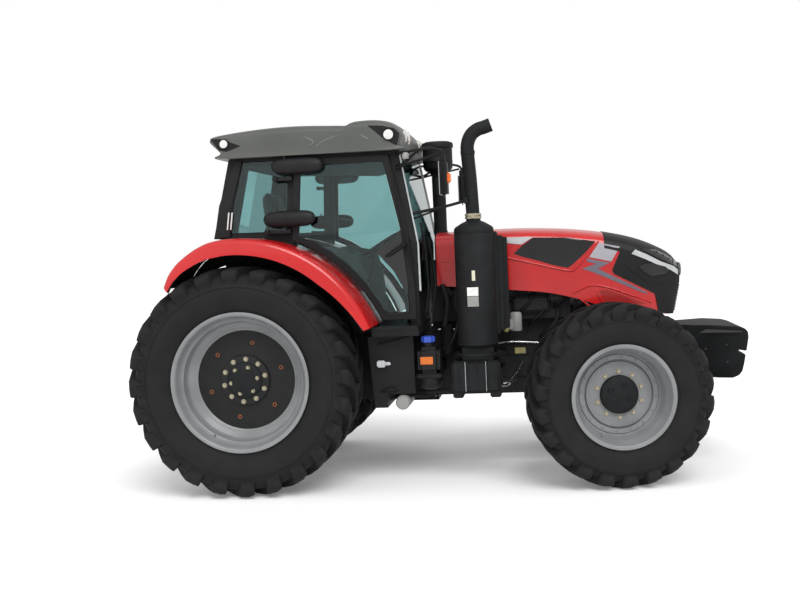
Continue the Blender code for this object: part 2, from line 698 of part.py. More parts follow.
WHEEL_R = 0.200
rim_points = []
hub = column_head + column_dir * (PIN_GAP + 0.030)
turn = column_dir.to_track_quat("Z", "Y").to_matrix()
steering = rod(column_head + column_dir * PIN_GAP, hub + column_dir * 0.020, 0.040)
ring_mesh = bpy.data.meshes.new("ring")
ring = turned([(WHEEL_R + 0.014, 0.009), (WHEEL_R + 0.014, -0.009),
               (WHEEL_R - 0.014, -0.009), (WHEEL_R - 0.014, 0.009)], 24)
ring.data.transform(Matrix.Translation(hub) @ turn.to_4x4())
spokes = []
for angle in (90, 210, 330):
    angle = math.radians(angle)
    reach = turn @ Vector((math.cos(angle), math.sin(angle), 0)) * WHEEL_R
    spokes.append(rod(hub, hub + reach, 0.008, 8))
place(join(steering, ring, *spokes), "steering_wheel", "plastic", tractor, hub)

SEAT_X = 0.300
RISER_Z = 1.560
seat_base = join(box((SEAT_X - 0.180, -0.200, RISER_Z + GAP), (SEAT_X + 0.220, 0.200,
                                                             1.720)),
                 box((SEAT_X - 0.120, -0.440, 1.660), (SEAT_X + 0.120, -0.180, 1.700)),
                 box((SEAT_X - 0.100, -0.440, 1.660), (SEAT_X + 0.300, -0.310, 1.960)))
place(seat_base, "seat_base", "plastic")
place(box((SEAT_X - 0.200, -0.250, 1.720 + GAP), (SEAT_X + 0.280, 0.250, 1.840)),
      "seat_cushion", "fabric")
place(side_plate([(SEAT_X - 0.240, 1.840 + GAP), (SEAT_X - 0.100, 1.840 + GAP),
                  (SEAT_X - 0.210, 2.480), (SEAT_X - 0.320, 2.480)], -0.250, 0.250),
      "seat_back", "fabric")

# ---------------------------------------------------------------- body
for side in (LEFT, RIGHT):
    outer = arc(FENDER_R, 21, 95, 9) + [(-0.310, 1.985), (-0.460, 1.885),
                                         (-0.575, 1.700)]
    inner = [(-0.545, 1.700), (-0.437, 1.862), (-0.299, 1.955)]
    inner += arc(FENDER_R - FENDER_WALL, 95, 21, 9)
    fender = side_plate(outer + inner, *beside(side, TUB_HALF + GAP, FENDER_OUT))
    place(fender, "fender_" + SIDE_NAME[side], "red_paint")

# x, half width, bottom, shoulder, top
HOOD = [(1.510, 0.420, 1.590, 1.960, 2.035), (2.200, 0.430, 1.520, 1.970, 2.045),
        (2.700, 0.430, 1.430, 1.930, 2.010), (2.950, 0.430, 1.360, 1.890, 1.972),
        (3.200, 0.420, 1.330, 1.790, 1.905), (3.400, 0.360, 1.280, 1.680, 1.810),
        (3.515, 0.290, 1.290, 1.570, 1.700)]
HOOD_WALL = 0.020
NOSE_X = 2.950
red = cut(shell(HOOD, HOOD_WALL, True), box((NOSE_X - GAP, -1, 1), (4, 1, 3)))
red = join(red, rod((px, -0.392, pz), (px, 0.392, pz), BONNET_TUBE))
place(red, "bonnet", "red_paint", tractor, BONNET_PIVOT)
nose = cut(shell(HOOD, HOOD_WALL, True), box((1, -1, 1), (NOSE_X, 1, 3)))
place(nose, "grille", "black_paint", tractor, BONNET_PIVOT)

CAN_X, CAN_Y = 1.862, -0.780
CAN_R = 0.160
CAN_LOW, CAN_TOP = 1.116, 2.050
NECK_Z = 2.135
NECK_R = 0.054
stand = join(
    box((CAN_X - 0.210, -0.920, 0.750), (CAN_X + 0.170, -0.620, 1.000)),
    box((CAN_X - 0.120, -0.880, 0.990), (CAN_X + 0.120, -0.660, CAN_LOW - GAP)),
    box((CAN_X - 0.120, -0.640, 0.800), (CAN_X + 0.100, -BODY_HALF - GAP, 0.950)),
    box((CAN_X - 0.210, -0.900, 0.705), (CAN_X - 0.130, -0.640, 0.760)),
    box((CAN_X + 0.090, -0.900, 0.705), (CAN_X + 0.170, -0.640, 0.760)),
)
place(stand, "exhaust_stand", "black_paint")
can = turned([(0, NECK_Z), (NECK_R, NECK_Z), (NECK_R, NECK_Z - 0.020), (CAN_R, CAN_TOP),
              (CAN_R, CAN_LOW), (0, CAN_LOW)], ROUND, "Z", (CAN_X, CAN_Y, 0))
shield = box((CAN_X + 0.110, -0.720, 1.220), (CAN_X + 0.265, -0.600, 2.000))
place(join(can, shield), "exhaust_canister", "black_paint")
stack = [(CAN_X, CAN_Y, NECK_Z + GAP), (CAN_X, CAN_Y, NECK_Z + 0.080),
         (CAN_X - 0.024, CAN_Y, 2.660),
         (CAN_X - 0.017, CAN_Y, 2.740), (CAN_X + 0.013, CAN_Y, 2.798),
         (CAN_X + 0.060, CAN_Y, 2.832), (CAN_X + 0.150, CAN_Y, 2.852)]
place(pipe(stack, NECK_R), "exhaust_pipe", "black_paint")

INTAKE_X, INTAKE_Y = 1.478, 0.560
drum = turned([(0, 2.873), (0.120, 2.873), (0.143, 2.850), (0.143, 2.620), (0.060, 2.560),
               (0.050, 1.500), (0, 1.500)], ROUND, "Z", (INTAKE_X, INTAKE_Y, 0))
duct = pipe([(INTAKE_X, INTAKE_Y, 1.540), (INTAKE_X + 0.010, INTAKE_Y - 0.030, 1.460),
             (INTAKE_X + 0.050, INTAKE_Y - 0.120, 1.430),
             (INTAKE_X + 0.050, 0.300 + GAP, 1.430)], 0.050)
place(join(drum, duct), "air_precleaner", "black_paint")

TANK_BACK = 0.965
tank = side_plate([(TANK_BACK, 1.210), (1.340, 1.210), (1.340, 0.740), (1.110, 0.740),
                   (1.110, 0.630), (TANK_BACK + 0.040, 0.630)], -0.800, -0.220 - GAP)
place(tank, "fuel_tank_right", "plastic")
place(box((1.000, 0.220 + GAP, 0.660), (1.900, 0.620, 1.180)), "fuel_tank_left", "plastic")

urea = join(
    box((1.374, -0.900, 0.780), (1.558, -0.640, 1.120)),
    rod((1.458, -0.790, 1.100), (1.458, -0.790, 1.205), 0.045),
    box((ENGINE_BACK + 0.005, -0.660, 0.860), (ENGINE_BACK + 0.105, -BODY_HALF - GAP, 0.960)),
)
place(urea, "urea_tank", "plastic")

STEP_IN, STEP_OUT = 0.620 + GAP, 0.940
steps = [box((1.010, STEP_IN, z), (1.390, STEP_OUT, z + 0.030)) for z in
         (0.480, 0.760, 1.040)]
for x in (1.010, 1.375):
    steps.append(box((x, STEP_IN, 0.480), (x + 0.015, STEP_OUT, 1.210)))
place(join(*steps), "steps_left", "black_paint")

for side in (LEFT, RIGHT):
    post = SIDE_OUT - SIDE_LEAN * (2.600 - WAIST_Z) + GAP
    low_y, high_y = beside(side, post, post + 0.040)
    bracket = box((1.232, low_y, 2.600), (1.262, high_y, 2.660))
    arm = pipe([(1.247, side * (post + 0.020), 2.640), (1.300, side * 0.880, 2.670),
                (1.600, side * 0.990, 2.670), (1.640, side * 1.010, 2.640),
                (1.640, side * 1.010, 2.560)], 0.013)
    low_y, high_y = beside(side, 0.900, 1.120)
    head = box((1.615, low_y, 2.290), (1.680, high_y, 2.610))
    place(join(bracket, arm, head), "mirror_" + SIDE_NAME[side], "black_paint")

# ---------------------------------------------------------------- rear hitch
LINK_BACK = -HITCH_REACH
for side in (LEFT, RIGHT):
    x, z = LINK_PIVOT
    outline = [(x + 0.050, z - 0.045), (x + 0.050, z + 0.045), (x - 0.100, z + 0.035),
               (LINK_BACK + 0.150, 0.650), (LINK_BACK, 0.660), (LINK_BACK, 0.570),
               (LINK_BACK + 0.150, 0.570), (x - 0.100, z - 0.050)]
    link = side_plate(outline, *beside(side, LINK_IN, LINK_OUT))
    link = cut(link, rod((x, side * 0.300, z), (x, side * 0.420, z),
                         LINK_PIN_R + PIN_GAP))
    place(link, "lower_link_" + SIDE_NAME[side], "cast_iron", tractor, (x, 0, z))

ARM_REACH = 0.340
ARM_PIN_R = 0.018
rx, rz = ROCKSHAFT
arm_x = rx - ARM_REACH
lift = rod((rx, -LINK_OUT, rz), (rx, LINK_OUT, rz), ROCKSHAFT_R)
for side in (LEFT, RIGHT):
    outline = [(rx + 0.060, rz - 0.055), (rx + 0.060, rz + 0.055), (arm_x - 0.035, rz + 0.030),
               (arm_x - 0.035, rz - 0.030)]
    lift = join(lift, side_plate(outline, *beside(side, LINK_IN, LINK_OUT)),
                rod((arm_x, side * (LINK_IN + 0.010), rz),
                    (arm_x, side * (LINK_OUT + 0.055), rz), ARM_PIN_R))
place(lift, "lift_arms", "cast_iron", tractor, (rx, 0, rz))
for side in (LEFT, RIGHT):
    y = side * (LINK_OUT + RUN + 0.020)
    eye = rod((arm_x, y - 0.018, rz), (arm_x, y + 0.018, rz), 0.038)
    bar = rod((arm_x, y, rz - 0.020), (arm_x, y, 0.620), 0.017)
    foot = rod((arm_x, y - 0.016, 0.620), (arm_x, y + 0.016, 0.620), 0.036)
    bore = rod((arm_x, y - 0.050, rz), (arm_x, y + 0.050, rz), ARM_PIN_R + PIN_GAP)
    place(cut(join(eye, bar, foot), bore), "lift_rod_" + SIDE_NAME[side], "cast_iron",
          tractor, (arm_x, y, rz))

tx, tz = TOP_PIVOT
top_link = join(
    box((tx - 0.026, -TOP_HALF, tz - 0.026), (tx + 0.026, TOP_HALF, tz + 0.080)),
    rod((tx, 0, tz + 0.050), (tx, 0, tz + 0.620), 0.020),
    rod((tx, 0, tz + 0.180), (tx, 0, tz + 0.440), 0.030),
    rod((tx, -TOP_HALF, tz + 0.640), (tx, TOP_HALF, tz + 0.640), 0.036),
)
top_link = cut(top_link, rod((tx, -0.100, tz), (tx, 0.100, tz), TOP_PIN_R + PIN_GAP))
place(top_link, "top_link", "cast_iron", tractor, (tx, 0, tz))

drawbar = join(
    box((-0.900, -0.045, 0.430), (0.250, 0.045, 0.475)),
    box((-0.330, -0.120, 0.420), (-0.270, 0.120, AXLE_CASE_LOW - GAP)),
    box((0.180, -0.100, 0.420), (0.240, 0.100, AXLE_CASE_LOW - GAP)),
)
place(drawbar, "drawbar", "cast_iron")
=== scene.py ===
import json
import math

import bmesh
import bpy
from mathutils import Matrix, Vector


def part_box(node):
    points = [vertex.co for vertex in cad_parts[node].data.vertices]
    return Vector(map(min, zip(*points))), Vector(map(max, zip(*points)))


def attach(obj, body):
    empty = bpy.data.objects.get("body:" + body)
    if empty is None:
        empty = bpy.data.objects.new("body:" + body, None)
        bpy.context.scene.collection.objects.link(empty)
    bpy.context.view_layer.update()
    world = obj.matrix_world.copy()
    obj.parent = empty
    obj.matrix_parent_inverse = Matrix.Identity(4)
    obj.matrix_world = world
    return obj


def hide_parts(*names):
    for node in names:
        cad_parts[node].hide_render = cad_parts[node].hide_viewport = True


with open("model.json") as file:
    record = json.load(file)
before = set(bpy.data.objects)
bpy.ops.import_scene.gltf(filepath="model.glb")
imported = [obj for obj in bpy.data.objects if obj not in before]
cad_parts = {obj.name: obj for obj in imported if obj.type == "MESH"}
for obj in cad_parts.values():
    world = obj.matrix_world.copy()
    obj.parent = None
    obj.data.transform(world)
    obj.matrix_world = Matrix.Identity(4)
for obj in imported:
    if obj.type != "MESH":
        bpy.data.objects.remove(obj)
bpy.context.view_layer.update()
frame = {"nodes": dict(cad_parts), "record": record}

# %% [markdown]
# # A farm tractor
# The tractor's working parts are already there: axles, cab, doors, hitch. This lesson
# gives them their finished looks, from the tyres' lugs to the padding of the seat.
# The x of every size below counts from the rear axle, as a tractor mechanic would
# measure it, so we first ask the frame where that axle is.

# %% Where the rear axle is
low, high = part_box("tyre_rear_right")
AXLE = (low.x + high.x) / 2
REAR_Z = (low.z + high.z) / 2
LEFT, RIGHT = 1, -1
SIDES = {"left": LEFT, "right": RIGHT}
print(f"rear axle {AXLE:.3f} m from the middle, {REAR_Z:.3f} m above the ground")

# %% [markdown]
# ## Seeing it
# The camera stands to the tractor's right, about as high as the driver's shoulder and a
# little ahead of the middle. It could be aimed with a Track To constraint, but a matrix
# made from three directions keeps a slight roll as well.

# %% Camera
YAW, PITCH, ROLL = 0.1288343, -0.0518212, -0.044737
ahead = Vector((-math.sin(YAW) * math.cos(PITCH), math.cos(YAW) * math.cos(PITCH),
                math.sin(PITCH)))
across = ahead.cross(Vector((0, 0, 1))).normalized()
over = across.cross(ahead)
right = math.cos(ROLL) * across + math.sin(ROLL) * over
top = math.cos(ROLL) * over - math.sin(ROLL) * across
camera = bpy.data.objects.new("camera", bpy.data.cameras.new("camera"))
bpy.context.scene.collection.objects.link(camera)
camera.data.sensor_width = 36
camera.data.lens = 49.5
camera.data.clip_end = 200
camera.matrix_world = (Matrix.Translation((AXLE + 2.3858, -9.5989, 1.963))
                       @ Matrix((right, top, -ahead)).transposed().to_4x4())
bpy.context.scene.camera = camera
print("camera at", [round(c, 2) for c in camera.matrix_world.translation])

# %% [markdown]
# ## Finishes
# Each finish is a Principled shader whose colour, roughness and bump come from noise on
# Object coordinates. Pieces keep their place in their mesh, so the pattern stays on the
# piece when a door or a wheel moves. One helper makes them all, because they differ in
# size of grain and strength only.

# %% A helper for finishes
DARK = 0.05          # a finish with no channel above this counts as near-black
DARK_SHARE = 0.5     # a white room lights near-blacks up, so their colour is halved


def finish(name, colour, second, rough, grain=12.0, spread=0.5, bump=0.0, fine=240.0,
           metal=0.0, coat=0.0, rough_spread=0.08):
    """A finish whose colour wanders between two, with a fine bump."""
    if max(colour) < DARK:
        colour, second = (tuple(DARK_SHARE * c for c in tone) for tone in (colour, second))
    made = bpy.data.materials.new(name)
    made.use_nodes = True
    tree = made.node_tree
    shader = tree.nodes["Principled BSDF"]
    where = tree.nodes.new("ShaderNodeTexCoord")
    cloud = tree.nodes.new("ShaderNodeTexNoise")
    cloud.inputs["Scale"].default_value = grain
    cloud.inputs["Detail"].default_value = 5.0
    tree.links.new(where.outputs["Object"], cloud.inputs["Vector"])
    ramp = tree.nodes.new("ShaderNodeValToRGB")
    ramp.color_ramp.elements[0].position = 0.5 - spread / 2
    ramp.color_ramp.elements[1].position = 0.5 + spread / 2
    ramp.color_ramp.elements[0].color = (*colour, 1)
    ramp.color_ramp.elements[1].color = (*second, 1)
    tree.links.new(cloud.outputs["Fac"], ramp.inputs["Fac"])
    tree.links.new(ramp.outputs["Color"], shader.inputs["Base Color"])
    shift = tree.nodes.new("ShaderNodeMapRange")
    shift.inputs["To Min"].default_value = max(0.02, rough - rough_spread)
    shift.inputs["To Max"].default_value = min(1.0, rough + rough_spread)
    tree.links.new(cloud.outputs["Fac"], shift.inputs["Value"])
    tree.links.new(shift.outputs["Result"], shader.inputs["Roughness"])
    if bump:
        dots = tree.nodes.new("ShaderNodeTexNoise")
        dots.inputs["Scale"].default_value = fine
        dots.inputs["Detail"].default_value = 2.0
        tree.links.new(where.outputs["Object"], dots.inputs["Vector"])
        relief = tree.nodes.new("ShaderNodeBump")
        relief.inputs["Strength"].default_value = bump
        relief.inputs["Distance"].default_value = 0.002
        tree.links.new(dots.outputs["Fac"], relief.inputs["Height"])
        tree.links.new(relief.outputs["Normal"], shader.inputs["Normal"])
    shader.inputs["Metallic"].default_value = metal
    shader.inputs["Coat Weight"].default_value = coat
    shader.inputs["Coat Roughness"].default_value = 0.08
    shader.inputs["Specular IOR Level"].default_value = (0.2 if max(colour) < DARK
                                                         else 0.32)
    return made


# %% The finishes
RED = finish("gloss red paint", (0.5, 0.007, 0.008), (0.42, 0.005, 0.006), 0.28, 3.0,
             coat=0.5, bump=0.03, fine=60)
# painted shade: the same red paint darkened for the shade in the scoop's recess
SHADED_RED = finish("red paint darkened as painted shade", (0.3, 0.01, 0.008), (0.24, 0.008, 0.006),
                  0.35, 3.0, coat=0.3)
MATT = finish("matt black coat", (0.02, 0.022, 0.024), (0.011, 0.012, 0.013), 0.62, 9.0,
              bump=0.15, fine=300)
MOULDED = finish("moulded black plastic", (0.022, 0.022, 0.023), (0.015, 0.015, 0.016),
                 0.5, 8.0, bump=0.25, fine=420)
GLOSS_BLACK = finish("gloss black panel", (0.01, 0.01, 0.011), (0.016, 0.016, 0.017),
                     0.12, 5.0, coat=0.6, rough_spread=0.04)
IRON = finish("painted casting", (0.02, 0.021, 0.023), (0.034, 0.034, 0.035), 0.58, 14.0,
              bump=0.45, fine=180)
ROOF = finish("dark olive roof", (0.09, 0.095, 0.086), (0.07, 0.074, 0.068), 0.42, 2.5,
              bump=0.08, fine=200)
GREY_LINE = finish("grey roof crease", (0.16, 0.17, 0.16), (0.13, 0.14, 0.13), 0.4, 4.0)
RIM = finish("light grey rim paint", (0.22, 0.228, 0.232), (0.165, 0.17, 0.175), 0.38, 5.0,
             bump=0.08, fine=120, coat=0.15)
DISC = finish("charcoal wheel disc", (0.02, 0.021, 0.022), (0.032, 0.032, 0.033), 0.5,
              9.0, bump=0.12, fine=140)
ZINC = finish("zinc plated bolt", (0.46, 0.42, 0.3), (0.3, 0.27, 0.2), 0.4, 60.0,
              metal=0.7)
STEEL = finish("bright steel", (0.55, 0.56, 0.58), (0.42, 0.43, 0.44), 0.25, 30.0,
               metal=1.0)
SILVER = finish("silver trim", (0.62, 0.63, 0.64), (0.5, 0.51, 0.52), 0.22, 12.0,
                metal=0.6)
STRIPE = finish("grey stripe", (0.145, 0.135, 0.165), (0.125, 0.115, 0.145), 0.38, 6.0)
PLATE = finish("pale grey panel", (0.36, 0.35, 0.38), (0.3, 0.29, 0.32), 0.38, 6.0)
ORANGE = finish("orange label", (0.6, 0.15, 0.02), (0.5, 0.12, 0.02), 0.5, 20.0)
CREAM = finish("cream label", (0.62, 0.6, 0.46), (0.52, 0.5, 0.4), 0.5, 20.0)
WHITE_MARK = finish("white mark", (0.75, 0.75, 0.74), (0.6, 0.6, 0.58), 0.6, 40.0)
GREY_TANK = finish("grey air tank", (0.28, 0.28, 0.27), (0.22, 0.22, 0.21), 0.45, 12.0)
RUST = finish("rusted edge", (0.3, 0.1, 0.03), (0.16, 0.05, 0.02), 0.8, 90.0)
BLUE = finish("blue cap", (0.045, 0.1, 0.52), (0.035, 0.08, 0.42), 0.35, 12.0)
BRASS = finish("dull yellow filter", (0.34, 0.3, 0.1), (0.22, 0.2, 0.1), 0.5, 30.0)
TRIM = finish("grey cab trim", (0.11, 0.13, 0.13), (0.085, 0.1, 0.1), 0.75, 7.0,
              bump=0.3, fine=500)
RUBBER = finish("tyre rubber", (0.014, 0.014, 0.015), (0.026, 0.026, 0.028), 0.72, 7.0,
                bump=0.25, fine=90)
print(len(bpy.data.materials), "finishes")

# %% [markdown]
# Window glass is tinted green-blue in its own mass. A clear coat over a solid colour
# would hide the cab, so the panes transmit, and their tint is the shader's own colour.
# Lamp lenses are the same glass without the tint.

# %% Glass and lamps


def glass(name, tint):
    """A finish that lets light through."""
    made = finish(name, tint, tuple(0.97 * c for c in tint), 0.03, 2.0, rough_spread=0.01)
    shader = made.node_tree.nodes["Principled BSDF"]
    shader.inputs["Transmission Weight"].default_value = 1.0
    shader.inputs["IOR"].default_value = 1.38
    return made


GLASS = glass("tinted window glass", (0.4, 0.6, 0.6))
LENS = glass("clear lens", (0.92, 0.94, 0.95))
PEARL = finish("pale lamp glass", (0.72, 0.72, 0.7), (0.56, 0.56, 0.55), 0.15, 40.0,
               coat=0.6)
AMBER = finish("amber lens", (0.8, 0.16, 0.02), (0.65, 0.11, 0.01), 0.2, 15.0, coat=0.5)
LAMP = finish("lamp reflector", (0.78, 0.77, 0.72), (0.6, 0.59, 0.56), 0.2, 40.0,
              metal=0.4)
print("tint of the windows", tuple(GLASS.node_tree.nodes["Color Ramp"]
                                   .color_ramp.elements[0].color)[:3])

# %% [markdown]
# ## Helpers for shapes
# Most of a tractor is turned, bent or cut from plate. Four helpers cover that: a lathe,
# a bent tube, a plate cut to an outline and a box with rounded edges. Each gives a mesh,
# and `piece` joins meshes, moves them so that x counts from the rear axle, and hangs
# them on their body.

# %% Turned shapes


def to_mesh(work, name):
    """The finished mesh of a bmesh, with doubled points merged."""
    bmesh.ops.remove_doubles(work, verts=work.verts, dist=1e-5)
    bmesh.ops.recalc_face_normals(work, faces=work.faces)
    mesh = bpy.data.meshes.new(name)
    work.to_mesh(mesh)
    work.free()
    return mesh


def bridge(work, rows, closed=True):
    """Faces between each row of points and the next; a closed row joins its ends."""
    for one, two in zip(rows, rows[1:]):
        for k in range(len(one) if closed else len(one) - 1):
            n = (k + 1) % len(one)
            work.faces.new((one[k], one[n], two[n], two[k]))


def filled(work, rows):
    """Rows of points bridged and closed at both ends."""
    bridge(work, rows)
    work.faces.new(rows[0])
    work.faces.new(rows[-1])
    bmesh.ops.recalc_face_normals(work, faces=work.faces)
    return work


def moved_copy(work, offset):
    """Close a sheet into a plate by a copy of it moved by offset."""
    grown = bmesh.ops.extrude_face_region(work, geom=work.faces[:])
    bmesh.ops.translate(work, vec=offset,
                        verts=[v for v in grown["geom"] if isinstance(v, bmesh.types.BMVert)])
    bmesh.ops.recalc_face_normals(work, faces=work.faces)


def lathe(profile, steps=48, centre=(0, 0, 0), axis="-Y", ring=False):
    """A profile of (radius, along) turned about an axis; ring closes the profile."""
    work = bmesh.new()
    rings = []
    for radius, along in profile:
        if radius < 1e-6:
            rings.append([work.verts.new((0, 0, along))])
            continue
        rings.append([work.verts.new((radius * math.cos(k * math.tau / steps),
                                      radius * math.sin(k * math.tau / steps), along))
                      for k in range(steps)])
    pairs = list(zip(rings, rings[1:])) + ([(rings[-1], rings[0])] if ring else [])
    for one, two in pairs:
        for k in range(steps):
            n = (k + 1) % steps
            if len(one) == 1 and len(two) > 1:
                work.faces.new((one[0], two[n], two[k]))
            elif len(two) == 1 and len(one) > 1:
                work.faces.new((one[k], one[n], two[0]))
            elif len(one) > 1:
                work.faces.new((one[k], one[n], two[n], two[k]))
    turn = {"Z": Matrix.Identity(4), "-Y": Matrix.Rotation(math.pi / 2, 4, "X"),
            "+X": Matrix.Rotation(math.pi / 2, 4, "Y")}[axis]
    bmesh.ops.transform(work, verts=work.verts, matrix=Matrix.Translation(centre) @ turn)
    return to_mesh(work, "turned")


# %% Bent tubes


def curve_point(a, b, c, d, t):
    """A point of the Catmull-Rom curve between b and c."""
    return 0.5 * (2 * b + (c - a) * t + (2 * a - 5 * b + 4 * c - d) * t * t
                  + (3 * b - a - 3 * c + d) * t ** 3)


def smooth_path(points, steps=6):
    """A curve through the points."""
    points = [Vector(p) for p in points]
    if len(points) < 3:
        return points
    ends = [2 * points[0] - points[1]] + points + [2 * points[-1] - points[-2]]
    path = []
    for k in range(1, len(ends) - 2):
        path += [curve_point(*ends[k - 1:k + 3], i / steps) for i in range(steps)]
    return path + [points[-1]]


def tube(points, radius, sides=12, smooth=6):
    """A round bar along points, with smooth steps of curve between each two."""
    path = smooth_path(points, smooth) if smooth else [Vector(p) for p in points]
    work = bmesh.new()
    rings = []
    side = None
    for k, here in enumerate(path):
        along = (path[min(k + 1, len(path) - 1)] - path[max(k - 1, 0)]).normalized()
        if side is None:
            side = along.orthogonal().normalized()
        side = (side - along * side.dot(along)).normalized()
        other = along.cross(side)
        angles = [i * math.tau / sides for i in range(sides)]
        rings.append([work.verts.new(here + radius * (math.cos(a) * side
                                                      + math.sin(a) * other))
                      for a in angles])
    return to_mesh(filled(work, rings), "tube")


# %% Plates and boxes


def slab(outline, near, far, round_off=0.0, holes=()):
    """An (x, z) outline between two values of y, with its edges rounded off."""
    work = bmesh.new()
    loops = [[work.verts.new((x, near, z)) for x, z in loop] for loop in (outline, *holes)]
    edges = [work.edges.new((loop[k - 1], loop[k])) for loop in loops
             for k in range(len(loop))]
    bmesh.ops.triangle_fill(work, edges=edges, use_beauty=True, use_dissolve=False)
    bmesh.ops.dissolve_limit(work, angle_limit=0.01, verts=work.verts, edges=work.edges)
    moved_copy(work, (0, far - near, 0))
    if round_off:
        sharp = [e for e in work.edges if e.calc_face_angle(0) > 0.5]
        bmesh.ops.bevel(work, geom=sharp, offset=round_off, segments=3, affect="EDGES",
                        clamp_overlap=True)
    return to_mesh(work, "slab")


def block(low, high, round_off=0.004, segments=2):
    """A box between two corners with rounded edges."""
    work = bmesh.new()
    bmesh.ops.create_cube(work, size=1)
    low, high = Vector(low), Vector(high)
    for vert in work.verts:
        vert.co = Vector((low[i] + (high[i] - low[i]) * (vert.co[i] + 0.5)
                          for i in range(3)))
    if round_off:
        bmesh.ops.bevel(work, geom=list(work.edges), offset=round_off, segments=segments,
                        affect="EDGES", clamp_overlap=True)
    return to_mesh(work, "block")


# %% [markdown]
# A left-hand part is usually the right-hand one mirrored. A mirror turns a mesh inside
# out, so its faces are flipped back at once.

# %% Mirror, join and hang


def mirrored(mesh):
    """The left-hand twin of a right-hand mesh."""
    copy = mesh.copy()
    copy.transform(Matrix.Scale(-1, 4, (0, 1, 0)))
    copy.flip_normals()
    return copy


def pairs(meshes):
    """Right-hand meshes, each followed by its left-hand twin."""
    return [twin for mesh in meshes for twin in (mesh, mirrored(mesh))]


def as_list(meshes):
    """One mesh or several, as a list."""
    return meshes if isinstance(meshes, (list, tuple)) else [meshes]


def joined(meshes):
    """One mesh out of many."""
    work = bmesh.new()
    for mesh in meshes:
        work.from_mesh(mesh)
    out = bpy.data.meshes.new("joined")
    work.to_mesh(out)
    work.free()
    return out


def piece(name, meshes, finish_of, body="chassis", sharp=40, place=None):
    """Join meshes to one piece, put it in its place and hang it on its body."""
    mesh = joined(as_list(meshes))
    mesh.name = name
    mesh.transform(place or Matrix.Translation((AXLE, 0, 0)))
    mesh.materials.clear()
    mesh.materials.append(finish_of)
    for face in mesh.polygons:
        face.material_index = 0
        face.use_smooth = True
    mesh.set_sharp_from_angle(angle=math.radians(sharp))
    made = bpy.data.objects.new(name, mesh)
    bpy.context.scene.collection.objects.link(made)
    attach(made, body)
    return made


def side_piece(name, meshes, finish_of, body="chassis", replaced=None):
    """A right-hand piece and its left-hand twin, each on the body of its side."""
    for side, sign in SIDES.items():
        own = [mesh if sign == RIGHT else mirrored(mesh) for mesh in as_list(meshes)]
        made = piece(f"{name}_{side}", own, finish_of, body.format(side))
        if replaced:
            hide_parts(f"{replaced}_{side}")


# %% [markdown]
# ## Copies round an axle and in a row
# Lugs, wheel bolts and rivets all repeat about the wheel's axle. A Geometry Nodes tree
# sets the modified mesh on points at the centre, each turned a step further. A straight
# row of grille bars or ribs is the same idea, with an offset in place of a turn. An
# Array modifier could do both, but a tree states its count and its first angle or step
# as plain inputs. `baked` turns the result into an ordinary mesh.

# %% The two trees


def copies_tree(name, spacing, kind):
    """A tree that repeats a shape, in a ring by First angle or in a row by Step."""
    tree = bpy.data.node_groups.new(name, "GeometryNodeTree")
    sockets = {}
    for label, sort in (("Shape", "NodeSocketGeometry"), ("Count", "NodeSocketInt"),
                        (spacing, kind), ("Finish", "NodeSocketMaterial")):
        sockets[label] = tree.interface.new_socket(label, in_out="INPUT", socket_type=sort)
    tree.interface.new_socket("Copies", in_out="OUTPUT", socket_type="NodeSocketGeometry")
    node, wire = tree.nodes.new, tree.links.new
    start, end = node("NodeGroupInput"), node("NodeGroupOutput")
    copies, real = node("GeometryNodeInstanceOnPoints"), node("GeometryNodeRealizeInstances")
    paint = node("GeometryNodeSetMaterial")
    if spacing == "Step":
        points = node("GeometryNodeMeshLine")
        points.mode = "OFFSET"
        wire(start.outputs["Step"], points.inputs["Offset"])
    else:
        points, index = node("GeometryNodePoints"), node("GeometryNodeInputIndex")
        step, turn, total = (node("ShaderNodeMath") for _ in range(3))
        step.operation, turn.operation, total.operation = "DIVIDE", "MULTIPLY", "ADD"
        step.inputs[0].default_value = math.tau
        angles = node("ShaderNodeCombineXYZ")
        wire(start.outputs["Count"], step.inputs[1])
        wire(index.outputs[0], turn.inputs[0])
        wire(step.outputs[0], turn.inputs[1])
        wire(turn.outputs[0], total.inputs[0])
        wire(start.outputs[spacing], total.inputs[1])
        wire(total.outputs[0], angles.inputs["Y"])
        wire(angles.outputs[0], copies.inputs["Rotation"])
    wire(start.outputs["Count"], points.inputs["Count"])
    wire(points.outputs[0], copies.inputs["Points"])
    wire(start.outputs["Shape"], copies.inputs["Instance"])
    wire(copies.outputs[0], real.inputs[0])
    wire(real.outputs[0], paint.inputs["Geometry"])
    wire(start.outputs["Finish"], paint.inputs["Material"])
    wire(paint.outputs[0], end.inputs[0])
    return tree, {label: socket.identifier for label, socket in sockets.items()}


RING, RING_IN = copies_tree("copies round an axle", "First angle", "NodeSocketFloat")
ROW, ROW_IN = copies_tree("copies in a row", "Step", "NodeSocketVector")


def baked(mesh, tree, values):
    """The plain mesh that a tree makes of this one."""
    holder = bpy.data.objects.new("holder", mesh)
    bpy.context.scene.collection.objects.link(holder)
    layer = holder.modifiers.new("tree", "NODES")
    layer.node_group = tree
    for identifier, value in values.items():
        layer[identifier] = value
    bpy.context.view_layer.update()
    made = bpy.data.meshes.new_from_object(
        holder.evaluated_get(bpy.context.evaluated_depsgraph_get()))
    bpy.data.objects.remove(holder)
    return made


def round_axle(mesh, count, first=0.0, finish_of=RUBBER):
    """Copies of a mesh turned about the Y axis."""
    return baked(mesh, RING, {RING_IN["Count"]: count, RING_IN["First angle"]: first,
                              RING_IN["Finish"]: finish_of})


def in_row(mesh, count, step, finish_of):
    """Copies of a mesh, each a step further than the last."""
    return baked(mesh, ROW, {ROW_IN["Count"]: count, ROW_IN["Step"]: step,
                             ROW_IN["Finish"]: finish_of})


print("trees take", ", ".join(RING_IN), "and", ", ".join(ROW_IN))

